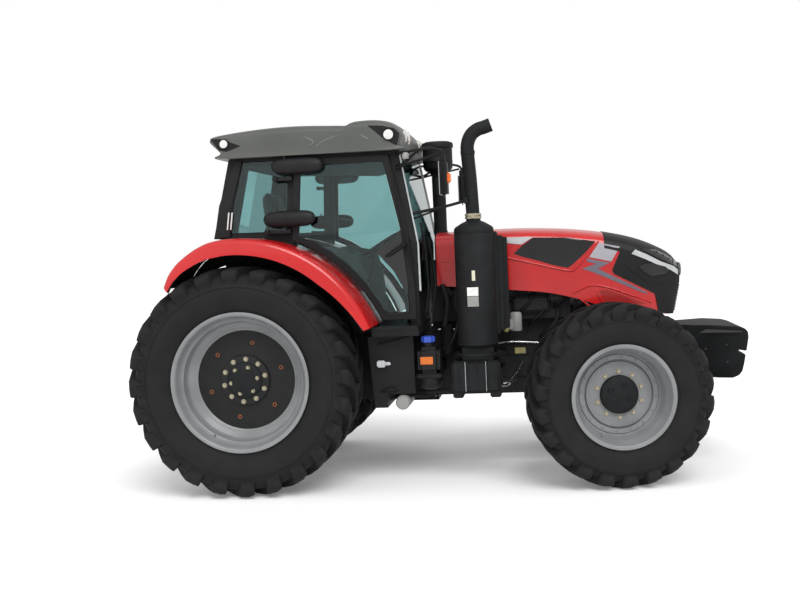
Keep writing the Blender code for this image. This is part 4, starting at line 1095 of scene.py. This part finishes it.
side_piece("door_frame", [door, *pods], MOULDED, "door_{}", "door")
side_piece("door_pod_seams", seams, GLOSS_BLACK, "door_{}")
print("door frame", len(door.vertices), "points")

# %% [markdown]
# The lower front corner of each door glass is printed black, and the handle lies
# across it. A thin slab on the outside of the pane stands for the print.

# %% Door corner and handle
PRINT = [(1.08, 1.9), (1.16, 1.96), (1.22, 1.99), (1.292, 2.08), (1.318, 1.88),
         (1.322, 1.56), (1.262, 1.64), (1.215, 1.74), (1.15, 1.815)]
corner = lean(slab(PRINT, -face + 0.006, -face + 0.01))
handle = lean(block((-0.09, -0.014, -0.012), (0.09, 0.01, 0.012), 0.008, 3))
lever = block((-0.08, -0.018, -0.004), (0.08, -0.012, 0.004), 0.002)
for mesh in (handle, lever):
    mesh.transform(Matrix.Translation((1.255, -face - 0.012, 1.905))
                   @ Matrix.Rotation(math.radians(-31), 4, "Y"))
side_piece("door_print", corner, GLOSS_BLACK, "door_{}")
side_piece("door_handle", handle, MOULDED, "door_{}")
side_piece("door_lever", lever, SILVER, "door_{}")
print("handles on", len(SIDES), "doors")

# %% [markdown]
# ## Round the cab
# Behind the doors a slim moulding closes the rear corner, with two light slots in it,
# and a header runs under the roof. Mirrors hang on bent arms.

# %% Cab mouldings
rear_post = lean(slab([(-0.245, 2.062), (-0.2, 2.33), (-0.11, 2.56), (-0.06, 2.69),
                       (0.01, 2.69), (-0.04, 2.5), (-0.09, 2.3), (-0.11, 2.062)],
                      -0.885, -0.845, 0.008))
header = lean(slab([(-0.1, 2.672), (1.262, 2.672), (1.296, 2.704), (-0.11, 2.704)],
                   -0.872, -0.84, 0.004))
slots = [lean(slab([(-0.138 + s, 2.13), (-0.128 + s, 2.13), (-0.112 + s, 2.27),
                    (-0.122 + s, 2.27)], -0.89, -0.88, 0.001)) for s in (0.0, 0.028)]
sill = block((1.02, -0.93, 1.268), (1.395, -0.85, 1.3), 0.006)
piece("cab_mouldings", pairs([rear_post, header, sill]), MOULDED, "chassis")
piece("rear_light_slots", pairs(slots), WHITE_MARK, "chassis")
edge = lean(slab([(1.408, 1.57), (1.424, 1.57), (1.424, 1.95), (1.296, 2.69),
              (1.284, 2.69), (1.41, 1.95)], -0.852, -0.836, 0.003))
piece("windscreen_edges", pairs([edge]), SILVER, "chassis")
print("mouldings on both sides")

# %% Mirrors
arms = [tube([(1.262, -0.8, z), (1.32, -0.85, z + 0.004), (1.48, -0.95, 2.69),
              (1.61, -1.0, 2.682), (1.66, -1.01, 2.65), (1.668, -1.01, 2.59)],
             0.011, 10) for z in (2.675, 2.585)]
arms.append(tube([(1.262, -0.82, 2.56), (1.42, -0.9, 2.6), (1.64, -1.0, 2.645)],
                 0.009, 10))
heads = [block((1.632, -1.12, 2.3), (1.69, -0.905, 2.6), 0.028, 5),
         block((1.64, -1.06, 2.56), (1.676, -0.96, 2.64), 0.012, 3)]
side_piece("mirror_head", heads + arms, MOULDED, replaced="mirror")
side_piece("mirror_glass", block((1.628, -1.105, 2.32), (1.634, -0.92, 2.58), 0.002),
           STEEL)
side_piece("mirror_lamp", block((1.68, -1.06, 2.41), (1.716, -0.98, 2.49), 0.01, 3),
           AMBER)
marker = lathe([(0, 0.0), (0.026, 0.0), (0.03, 0.03), (0.018, 0.05), (0, 0.052)], 24,
               (1.355, -0.905, 2.625), "Z")
piece("marker_lamps", pairs([marker]), GREY_TANK, "chassis")
print("mirrors on", len(arms), "bars a side")

# %% [markdown]
# ## Exhaust
# The after-treatment can is a drum with a domed shoulder, a bead near its foot, a bright
# clamp round its neck and heat shields in front of it. The stack above it is a tube
# swept along a smooth path and cut square at its mouth.

# %% The can
CAN = (1.862, -0.78)
low_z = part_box("exhaust_canister")[0].z
drum = lathe([(0, low_z), (0.152, low_z), (0.16, low_z + 0.006), (0.16, 2.005),
              (0.157, 2.012), (0.16, 2.018), (0.158, 2.05), (0.146, 2.066), (0.09, 2.1),
              (0.06, 2.112), (0.056, 2.128), (0, 2.128)], 72, (*CAN, 0), "Z")
lower = lathe([(0.159, low_z + 0.01), (0.166, low_z + 0.014), (0.166, low_z + 0.03),
               (0.159, low_z + 0.034)], 72, (*CAN, 0), "Z", ring=True)
shields = [block((1.95, -0.8, 1.2), (2.045, -0.64, 2.022), 0.01, 3),
           block((2.02, -0.76, 1.225), (2.085, -0.6, 1.99), 0.008, 3),
           block((2.078, -0.72, 1.24), (2.118, -0.59, 1.975), 0.006, 2)]
made = piece("exhaust_can", [drum, lower, *shields], MATT, "chassis")
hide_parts("exhaust_canister")
clamp = [lathe([(0.056, 2.128), (0.066, 2.13), (0.066, 2.146), (0.06, 2.15),
                (0.066, 2.154), (0.066, 2.17), (0.056, 2.172)], 40, (*CAN, 0), "Z",
               ring=True),
         block((CAN[0] - 0.012, CAN[1] - 0.085, 2.136), (CAN[0] + 0.012, CAN[1] - 0.06,
                                                        2.164), 0.003)]
piece("stack_clamp", clamp, ZINC, "chassis")
PATH = [(1.862, 2.128), (1.858, 2.25), (1.85, 2.45), (1.838, 2.65), (1.842, 2.73),
        (1.872, 2.796), (1.925, 2.836), (1.975, 2.85), (2.03, 2.868)]
stack = tube([(x, CAN[1], z) for x, z in PATH], 0.054, 32, 8)
band = lathe([(0.054, 0.0), (0.0575, 0.003), (0.0575, 0.03), (0.054, 0.033)], 40,
             (1.839, CAN[1], 2.64), "Z", ring=True)
made = piece("exhaust_stack", [stack, band], MATT, "chassis")
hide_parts("exhaust_pipe")
print("can and stack stand", round(2.87 - low_z, 2), "m tall")

# %% Blank labels, the stay and the stand
for name, colour, low, high, near, far in (
        ("can_label", CREAM, (1.842, 1.64), (1.868, 1.72), -0.9415, -0.935),
        ("can_sign_top", WHITE_MARK, (1.8, 1.52), (1.888, 1.588), -0.94, -0.925),
        ("can_sign_foot", GREY_TANK, (1.8, 1.436), (1.888, 1.516), -0.94, -0.925)):
    label = slab([low, (high[0], low[1]), high, (low[0], high[1])], near, far)
    piece(name, label, colour, "chassis")
stay = [tube([(1.29, -0.79, 2.18), (1.42, -0.8, 2.2), (1.634, -0.8, 2.236),
              (1.812, -0.79, 2.276)], 0.012, 10),
        block((1.795, -0.85, 2.25), (1.83, -0.76, 2.305), 0.006),
        tube([(1.29, -0.79, 2.12), (1.5, -0.79, 2.19), (1.64, -0.8, 2.23)],
             0.008, 8)]
piece("stack_stay", stay, MATT, "chassis")
RIBBED = [block((1.652, -0.922, 0.752), (2.032, -0.622, 1.0), 0.016, 3),
          block((1.735, -0.885, 0.985), (1.988, -0.655, low_z - 0.001), 0.01, 2),
          block((1.652, -0.902, 0.706), (1.735, -0.64, 0.76), 0.008, 2),
          block((1.948, -0.902, 0.706), (2.034, -0.64, 0.76), 0.008, 2),
          block((1.742, -0.64, 0.8), (1.962, -0.192, 0.95), 0.008, 2)]
rib = block((1.7, -0.9275, 0.765), (1.712, -0.915, 0.995), 0.002)
RIBBED.append(in_row(rib, 5, (0.074, 0, 0), MATT))
flange = lathe([(0.15, 1.05), (0.19, 1.05), (0.19, 1.062), (0.15, 1.062)], 48,
               (*CAN, 0), "Z", ring=True)
made = piece("exhaust_foot", [*RIBBED, flange], MATT, "chassis")
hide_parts("exhaust_stand")
piece("foot_seams", in_row(block((1.756, -0.9262, 0.76), (1.76, -0.9222, 0.998), 0.001), 2,
                           (0.164, 0, 0), STEEL), STEEL, "chassis")
print("stand with ribs done")

# %% [markdown]
# ## Tanks and pipes along the right side
# Between the rear wheel and the exhaust hang the urea tank with its blue cap, a blank
# orange label, and the round end of an air tank.

# %% Urea tank
tank = [block((1.376, -0.902, 0.905), (1.556, -0.64, 1.12), 0.034, 5),
        block((1.362, -0.89, 0.87), (1.57, -0.65, 0.905), 0.012, 3),
        block((1.445, -0.66, 0.862), (1.545, -0.192, 0.958), 0.006),
        lathe([(0, 0.768), (0.05, 0.772), (0.082, 0.795), (0.094, 0.835), (0.094, 0.88),
               (0, 0.88)], 40, (1.466, -0.785, 0), "Z"),
        lathe([(0, 1.115), (0.044, 1.115), (0.044, 1.15), (0, 1.15)], 32,
              (1.458, -0.79, 0), "Z")]
made = piece("urea_tank_shell", tank, MOULDED, "chassis")
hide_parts("urea_tank")
CAP_R, LOBES, LOBE, CAP_STEPS = 0.05, 6, 0.13, 48
star = bmesh.new()
ring = []
for k in range(CAP_STEPS):
    a = k * math.tau / CAP_STEPS
    r = CAP_R * (1 + LOBE * math.cos(LOBES * a))
    ring.append(star.verts.new((r * math.cos(a), r * math.sin(a), 0)))
star.faces.new(ring)
moved_copy(star, (0, 0, 0.05))
bmesh.ops.bevel(star, geom=[e for e in star.edges if e.calc_face_angle(0) > 0.7],
                offset=0.006, segments=2, affect="EDGES", clamp_overlap=True)
cap = to_mesh(star, "cap")
cap.transform(Matrix.Translation((1.458, -0.79, 1.152)))
piece("urea_cap", cap, BLUE, "chassis")
piece("tank_label", slab([(1.402, 0.985), (1.502, 0.985), (1.502, 1.045), (1.402, 1.045)],
                         -0.9055, -0.895, 0.001), ORANGE, "chassis")

# %% Air tank, pipes and cables
air = lathe([(0, 0.835), (0.05, 0.832), (0.058, 0.82), (0.06, 0.5), (0, 0.49)], 40,
            (1.235, 0, 0.672))
piece("air_tank", air, GREY_TANK, "chassis")
runs = [([(1.13, -0.76, 0.7), (1.25, -0.7, 0.715), (1.42, -0.68, 0.705)], 0.016),
        ([(1.15, -0.64, 0.735), (1.6, -0.64, 0.735)], 0.018),
        ([(1.05, -0.79, 0.76), (1.16, -0.82, 0.78), (1.31, -0.64, 0.7)], 0.012),
        ([(1.56, -0.6, 1.08), (1.64, -0.64, 1.14), (1.7, -0.6, 1.3)], 0.014),
        ([(1.05, -0.81, 1.15), (1.2, -0.82, 1.18), (1.33, -0.8, 1.215)], 0.006),
        ([(1.57, -0.5, 1.25), (1.6, -0.48, 1.45), (1.56, -0.46, 1.6)], 0.022),
        ([(1.48, -0.62, 1.38), (1.52, -0.6, 1.6), (1.5, -0.56, 1.8),
          (1.47, -0.6, 2.0)], 0.01),
        ([(1.44, -0.7, 1.38), (1.47, -0.69, 1.6), (1.455, -0.68, 1.9),
          (1.43, -0.7, 2.12)], 0.008)]
piece("hoses_right", [tube(points, r, 12) for points, r in runs], MATT, "chassis")
bright = [tube([(2.035, -0.64, 0.772), (2.085, -0.6, 0.778), (2.13, -0.45, 0.812),
                (2.17, -0.3, 0.86), (2.2, -0.195, 0.9)], 0.02, 16),
          tube([(1.5, -0.33, 1.215), (1.9, -0.33, 1.215), (2.2, -0.205, 1.22)],
               0.01, 10),
          tube([(1.95, -0.32, 1.08), (2.12, -0.215, 1.08), (2.42, -0.203, 1.06)],
               0.009, 10)]
piece("bright_pipes", bright, STEEL, "chassis")
fittings = [block((1.04, -0.85, 0.965), (1.11, -0.79, 1.02), 0.008),
            block((1.09, -0.835, 0.98), (1.15, -0.805, 1.006), 0.006)]
piece("remote_valve", fittings, STEEL, "chassis")
print(len(runs) + len(bright), "pipes")

# %% [markdown]
# ## Engine
# The open bay under the bonnet shows an engine between dark hoses. A handful of boxes,
# filters and pipes with rounded edges is enough to fill it, since most of it is shade.

# %% Engine details
parts = []
for x, z, w, h, d in ((1.64, 1.36, 0.24, 0.2, 0.1), (2.14, 1.34, 0.3, 0.13, 0.06),
                      (2.44, 1.42, 0.12, 0.18, 0.09), (1.96, 1.48, 0.2, 0.14, 0.1),
                      (2.3, 1.56, 0.22, 0.1, 0.08), (1.7, 1.64, 0.26, 0.12, 0.07)):
    parts.append(block((x, -0.3 - d, z), (x + w, -0.295, z + h), 0.016, 3))
for x, y, z0, z1, r in ((1.96, -0.38, 1.12, 1.33, 0.052),
                        (1.58, -0.4, 1.02, 1.26, 0.05)):
    parts.append(lathe([(0, z0), (r * 0.9, z0), (r, z0 + 0.012), (r, z1 - 0.02),
                        (r * 1.06, z1 - 0.014), (r * 1.06, z1), (0, z1)], 32, (x, y, 0), "Z"))
for k in range(6):
    x = 1.56 + 0.165 * k
    parts.append(tube([(x, -0.29, 1.6), (x + 0.03, -0.37, 1.58),
                       (x + 0.07, -0.39, 1.5)], 0.024, 12))
piece("engine_fittings", pairs(parts), IRON, "chassis")
pale = [lathe([(0, 1.19), (0.046, 1.19), (0.05, 1.2), (0.05, 1.33), (0.04, 1.345),
               (0, 1.345)], 32, (2.16, -0.4, 0), "Z"),
        block((2.1, -0.445, 1.2), (2.148, -0.36, 1.29), 0.008)]
piece("fuel_filter", pale, GREY_TANK, "chassis")
piece("filter_base", [block((2.06, -0.455, 1.185), (2.1, -0.42, 1.27), 0.006),
                      block((2.14, -0.342, 0.99), (2.23, -0.33, 1.04), 0.003)], BRASS,
      "chassis")
loops = []
for k in range(9):
    x, z = 1.66 + 0.1 * k, 1.12 + 0.045 * ((k * 5) % 7)
    loops.append(tube([(x, -0.2, z), (x + 0.04, -0.345, z + 0.05),
                       (x + 0.13, -0.36, z + 0.14), (x + 0.16, -0.31, z + 0.26)],
                      0.009 + 0.003 * (k % 3), 10))
piece("engine_hoses", pairs(loops), MATT, "chassis")
rails = [block((1.7, -0.3, 0.76), (2.03, -0.191, 0.88), 0.012, 2),
         block((1.6, -0.26, 0.9), (2.06, -0.191, 1.02), 0.01, 2),
         block((2.02, -0.215, 0.78), (2.6, -0.191, 0.96), 0.01, 2)]
piece("frame_rails", pairs(rails), IRON, "chassis")
print(2 * len(parts), "engine fittings")

# %% [markdown]
# ## Air cleaner
# The intake stands on the far side: a ribbed drum with a wide lid on a thick post.

# %% Air cleaner
IN = (1.478, 0.56)
drum = lathe([(0, 2.874), (0.11, 2.874), (0.14, 2.862), (0.146, 2.846), (0.146, 2.82),
              (0.136, 2.812), (0.136, 2.7), (0.14, 2.694), (0.136, 2.688), (0.134, 2.64),
              (0.126, 2.62), (0.09, 2.6), (0.062, 2.57), (0.06, 2.06), (0.066, 2.056),
              (0.066, 2.036), (0.058, 2.03), (0.054, 1.5), (0, 1.5)], 56, (*IN, 0), "Z")
bend = tube([(IN[0], IN[1], 1.54), (IN[0] + 0.01, IN[1] - 0.03, 1.47),
             (IN[0] + 0.05, IN[1] - 0.12, 1.432), (IN[0] + 0.05, 0.302, 1.43)], 0.05, 24)
made = piece("air_cleaner", [drum, bend], MATT, "chassis")
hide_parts("air_precleaner")
print("air cleaner", len(drum.vertices), "points")

# %% [markdown]
# ## Front weight
# The ballast block is a casting with rounded corners, a pick-up slot in its nose and a
# shallow groove near its top.

# %% Front weight
WEIGHT = [(3.46, 0.768), (3.777, 0.75), (3.9, 0.745), (3.95, 0.764), (3.978, 0.8),
          (3.994, 0.86), (4.008, 0.935), (3.955, 0.95), (3.945, 0.962), (3.95, 0.974),
          (4.015, 0.962), (4.034, 1.075), (4.03, 1.12), (4.004, 1.148), (3.94, 1.166),
          (3.777, 1.178), (3.46, 1.18)]
TAPER_BACK, TAPER_HALF, TAPER = 3.4, 0.18, 0.622   # it narrows to clear the tyres
weight = bmesh.new()
weight.from_mesh(slab(WEIGHT, -0.42, 0.42, 0.01))
for v in weight.verts:
    reach = TAPER_HALF + TAPER * (v.co.x - TAPER_BACK)
    if abs(v.co.y) > reach:
        v.co.y = math.copysign(reach, v.co.y)
made = piece("ballast", [to_mesh(weight, "weight"),
                         block((3.441, -0.19, 0.82), (3.49, 0.19, 1.12), 0.006)],
             MATT, "chassis")
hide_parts("front_weight")
groove = slab([(3.64, 1.122), (3.7, 1.15), (3.985, 1.128), (3.98, 1.114)], -0.4225,
              -0.418, 0.0008)
dots = [lathe([(0, 0.0), (0.01, 0.0), (0.008, 0.003), (0, 0.004)], 14, (x, -0.42, z))
        for x, z in ((3.69, 0.99), (3.86, 0.88), (3.86, 1.02))]
piece("ballast_groove", pairs([groove, *dots]), GLOSS_BLACK, "chassis")
print("weight reaches", round(max(v.co.x for v in made.data.vertices), 3))

# %% [markdown]
# ## Inside the cab
# Through the glass show the wheel, the seat with its armrest, grey side trim and the
# dark lining of the roof.

# %% Steering wheel and trim
foot, head = Vector((1.3, 0, 1.5)), Vector((1.045, 0, 1.94))
up = (head - foot).normalized()
hub = head + up * 0.032
WHEEL_R, GRIP_R = 0.2, 0.015
rim_line = lathe([(WHEEL_R + GRIP_R * math.cos(a), GRIP_R * math.sin(a))
                  for a in (k * math.tau / 12 for k in range(12))], 48, axis="Z", ring=True)
boss = lathe([(0, -0.03), (0.04, -0.03), (0.05, 0.01), (0.04, 0.024), (0, 0.026)], 32,
             axis="Z")
spokes = [tube([(0, 0, 0.004), (WHEEL_R * math.cos(a), WHEEL_R * math.sin(a), 0.0)], 0.011,
               10, 0) for a in (math.radians(d) for d in (90, 210, 330))]
turn = Matrix.Translation((AXLE, 0, 0)) @ Matrix.Translation(hub) @ \
    up.to_track_quat("Z", "Y").to_matrix().to_4x4()
made = piece("wheel_of_driver", [rim_line, boss, *spokes], MOULDED, "steering_wheel",
             place=turn)
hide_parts("steering_wheel")
console = [slab([(0.52, 1.564), (0.9, 1.3), (0.96, 1.3), (0.93, 1.7),
                 (0.88, 1.9), (0.64, 1.96), (0.52, 1.94)], -0.565, -0.4, 0.014),
           slab([(-0.16, 1.564), (0.52, 1.564), (0.52, 1.9), (-0.1, 2.03),
                 (-0.18, 2.04)], -0.57, -0.47, 0.012)]
piece("side_trim", pairs(console), TRIM, "chassis")
lining = slab([(-0.06, 2.64), (0.4, 2.63), (0.9, 2.6), (1.19, 2.66),
                (1.19, 2.696), (-0.06, 2.696)], -0.74, 0.74, 0.01)
piece("roof_lining", lining, TRIM, "chassis")
levers = [tube([(0.88, -0.5, 1.56), (0.96, -0.48, 1.7), (0.985, -0.47, 1.86)],
               0.012, 10),
          tube([(1.18, 0.11, 1.3), (1.06, 0.12, 1.36), (1.02, 0.12, 1.38)], 0.014,
               10),
          tube([(1.18, -0.11, 1.3), (1.06, -0.12, 1.36), (1.02, -0.12, 1.38)],
               0.014, 10)]
piece("levers_and_pedals", levers, MOULDED, "chassis")
print("steering wheel at", [round(c, 2) for c in hub])

# %% [markdown]
# ## The seat
# Cushions are padded cloth. Each starts as a plain closed shape a little smaller than
# its place, is remeshed finely, and is blown up by Blender's cloth solver with a cap on
# how far a point may move. Piping goes on afterwards, because remeshing would eat it.

# %% Cloth finish


def cloth_finish():
    """A near-black cloth with a woven relief and a little sheen."""
    made = finish("woven seat cloth", (0.05, 0.053, 0.058), (0.034, 0.036, 0.04), 0.88,
                  18.0)
    tree = made.node_tree
    shader = tree.nodes["Principled BSDF"]
    where = tree.nodes.new("ShaderNodeTexCoord")
    across_way, up_way = (tree.nodes.new("ShaderNodeTexWave") for _ in range(2))
    across_way.bands_direction, up_way.bands_direction = "Y", "DIAGONAL"
    blend = tree.nodes.new("ShaderNodeMath")
    blend.operation = "MULTIPLY"
    relief = tree.nodes.new("ShaderNodeBump")
    relief.inputs["Strength"].default_value = 0.4
    relief.inputs["Distance"].default_value = 0.002
    for wave in (across_way, up_way):
        wave.inputs["Scale"].default_value = 90.0
        tree.links.new(where.outputs["Object"], wave.inputs["Vector"])
    tree.links.new(across_way.outputs["Fac"], blend.inputs[0])
    tree.links.new(up_way.outputs["Fac"], blend.inputs[1])
    tree.links.new(blend.outputs[0], relief.inputs["Height"])
    tree.links.new(relief.outputs["Normal"], shader.inputs["Normal"])
    shader.inputs["Sheen Weight"].default_value = 0.3
    return made


CLOTH = cloth_finish()

# %% Blowing up a cushion
PUFF_FRAMES = 20


def padded_mesh(mesh, cap=0.016, voxel=0.009):
    """A cushion's mesh blown up by the cloth solver, no point moving past cap."""
    holder = bpy.data.objects.new("cushion", mesh)
    bpy.context.scene.collection.objects.link(holder)
    fine = holder.modifiers.new("fine", "REMESH")
    fine.mode = "VOXEL"
    fine.voxel_size = voxel
    bpy.context.view_layer.update()
    depsgraph = bpy.context.evaluated_depsgraph_get()
    flat = bpy.data.meshes.new_from_object(holder.evaluated_get(depsgraph))
    holder.modifiers.clear()
    holder.data = flat
    before = [v.co.copy() for v in flat.vertices]
    solver = holder.modifiers.new("cloth", "CLOTH")
    solver.settings.use_pressure = True
    solver.settings.uniform_pressure_force = 4.0
    solver.settings.effector_weights.gravity = 0.0
    solver.settings.quality = 5
    solver.point_cache.frame_end = PUFF_FRAMES
    for step in range(1, PUFF_FRAMES + 1):
        bpy.context.scene.frame_set(step)
    depsgraph = bpy.context.evaluated_depsgraph_get()
    puffed = bpy.data.meshes.new_from_object(holder.evaluated_get(depsgraph))
    holder.modifiers.clear()
    for v, start in zip(puffed.vertices, before):
        move = v.co - start
        if move.length > cap:
            v.co = start + move * (cap / move.length)
    bpy.context.scene.frame_set(1)
    bpy.data.objects.remove(holder)
    work = bmesh.new()
    work.from_mesh(puffed)
    bmesh.ops.smooth_vert(work, verts=work.verts, factor=0.5, use_axis_x=True,
                          use_axis_y=True, use_axis_z=True)
    return to_mesh(work, "padded")


# %% Seat cushions
SEAT = 0.3
base = block((SEAT - 0.178, -0.228, 1.742), (SEAT + 0.262, 0.228, 1.822), 0.03, 4)
cushion = piece("seat_pad", padded_mesh(base), CLOTH, "chassis", sharp=180)
back = slab([(SEAT - 0.222, 1.862), (SEAT - 0.122, 1.862), (SEAT - 0.196, 2.3),
             (SEAT - 0.222, 2.462), (SEAT - 0.3, 2.462), (SEAT - 0.29, 2.3)],
            -0.225, 0.225, 0.025)
backrest = piece("seat_backrest", padded_mesh(back), CLOTH, "chassis", sharp=180)
for made, node in ((cushion, "seat_cushion"), (backrest, "seat_back")):
    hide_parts(node)
piping = [tube([(SEAT - 0.165, y, 1.838), (SEAT + 0.06, y, 1.842), (SEAT + 0.245, y,
                                                                     1.832)], 0.004, 8)
          for y in (-0.13, 0.13)]
piping += [tube([(SEAT - 0.112, y, 1.89), (SEAT - 0.165, y, 2.18), (SEAT - 0.196, y,
                                                                     2.44)], 0.004, 8)
           for y in (-0.13, 0.13)]
piece("seat_piping", piping, MOULDED, "chassis")
print("cushions:", len(cushion.data.vertices), "and", len(backrest.data.vertices), "points")

# %% [markdown]
# ## What stays as it is
# Axles, castings, window panes and the hitch already have their shapes and only need
# their finishes. The frame's cab and seat base take the moulded one.

# %% Finishes of the frame's own parts
USES = {"red_paint": RED, "black_paint": MATT, "cast_iron": IRON, "roof_paint": ROOF,
        "rim_paint": RIM, "tyre": RUBBER, "glass": GLASS, "plastic": MOULDED,
        "fabric": CLOTH, "steel": STEEL}
slots = {entry["node"]: entry["material_slot"] for entry in frame["record"]["subparts"]}
for name, node in frame["nodes"].items():
    node.data.materials.clear()
    node.data.materials.append(USES[slots[name]])
for name in ("cab_frame", "seat_base"):
    frame["nodes"][name].data.materials[0] = MOULDED
print(len(slots), "parts finished")

# %% [markdown]
# ## The stage
# The floor is a pale sheet that keeps the tractor's shadow. The world is pure white to
# the camera and through the glass, and a little weaker as a light on the tractor.

# %% Floor, world and lights
scene = bpy.context.scene
scene.view_settings.view_transform = "Standard"
bpy.ops.mesh.primitive_plane_add(size=80, location=(0, 0, 0))
floor = bpy.context.object
floor.name = "floor"
sheet = bpy.data.materials.new("pale floor")
sheet.use_nodes = True
for socket, value in (("Base Color", (0.86, 0.86, 0.86, 1)), ("Roughness", 1.0),
                      ("Emission Strength", 0.12), ("Emission Color", (1, 1, 1, 1))):
    sheet.node_tree.nodes["Principled BSDF"].inputs[socket].default_value = value
floor.data.materials.append(sheet)
world = bpy.data.worlds.new("white room")
scene.world = world
world.use_nodes = True
tree = world.node_tree
background = tree.nodes["Background"]
background.inputs["Color"].default_value = (1, 1, 1, 1)
rays = tree.nodes.new("ShaderNodeLightPath")
either = tree.nodes.new("ShaderNodeMath")
either.operation = "MAXIMUM"
tree.links.new(rays.outputs["Is Camera Ray"], either.inputs[0])
tree.links.new(rays.outputs["Is Transmission Ray"], either.inputs[1])
level = tree.nodes.new("ShaderNodeMapRange")
level.inputs["To Min"].default_value = 0.775
level.inputs["To Max"].default_value = 1.0
tree.links.new(either.outputs[0], level.inputs["Value"])
tree.links.new(level.outputs["Result"], background.inputs["Strength"])
for label, energy, turn, soft in (("key", 2.0, (0.75, 0.12, 0.25), 0.6),
                                  ("fill", 0.5, (1.05, 0.0, -0.7), 1.2)):
    light = bpy.data.objects.new(label, bpy.data.lights.new(label, "SUN"))
    scene.collection.objects.link(light)
    light.data.energy = energy
    light.data.angle = soft
    light.rotation_euler = turn
print("two soft suns")

# %% A last update of the scene
bpy.context.view_layer.update()
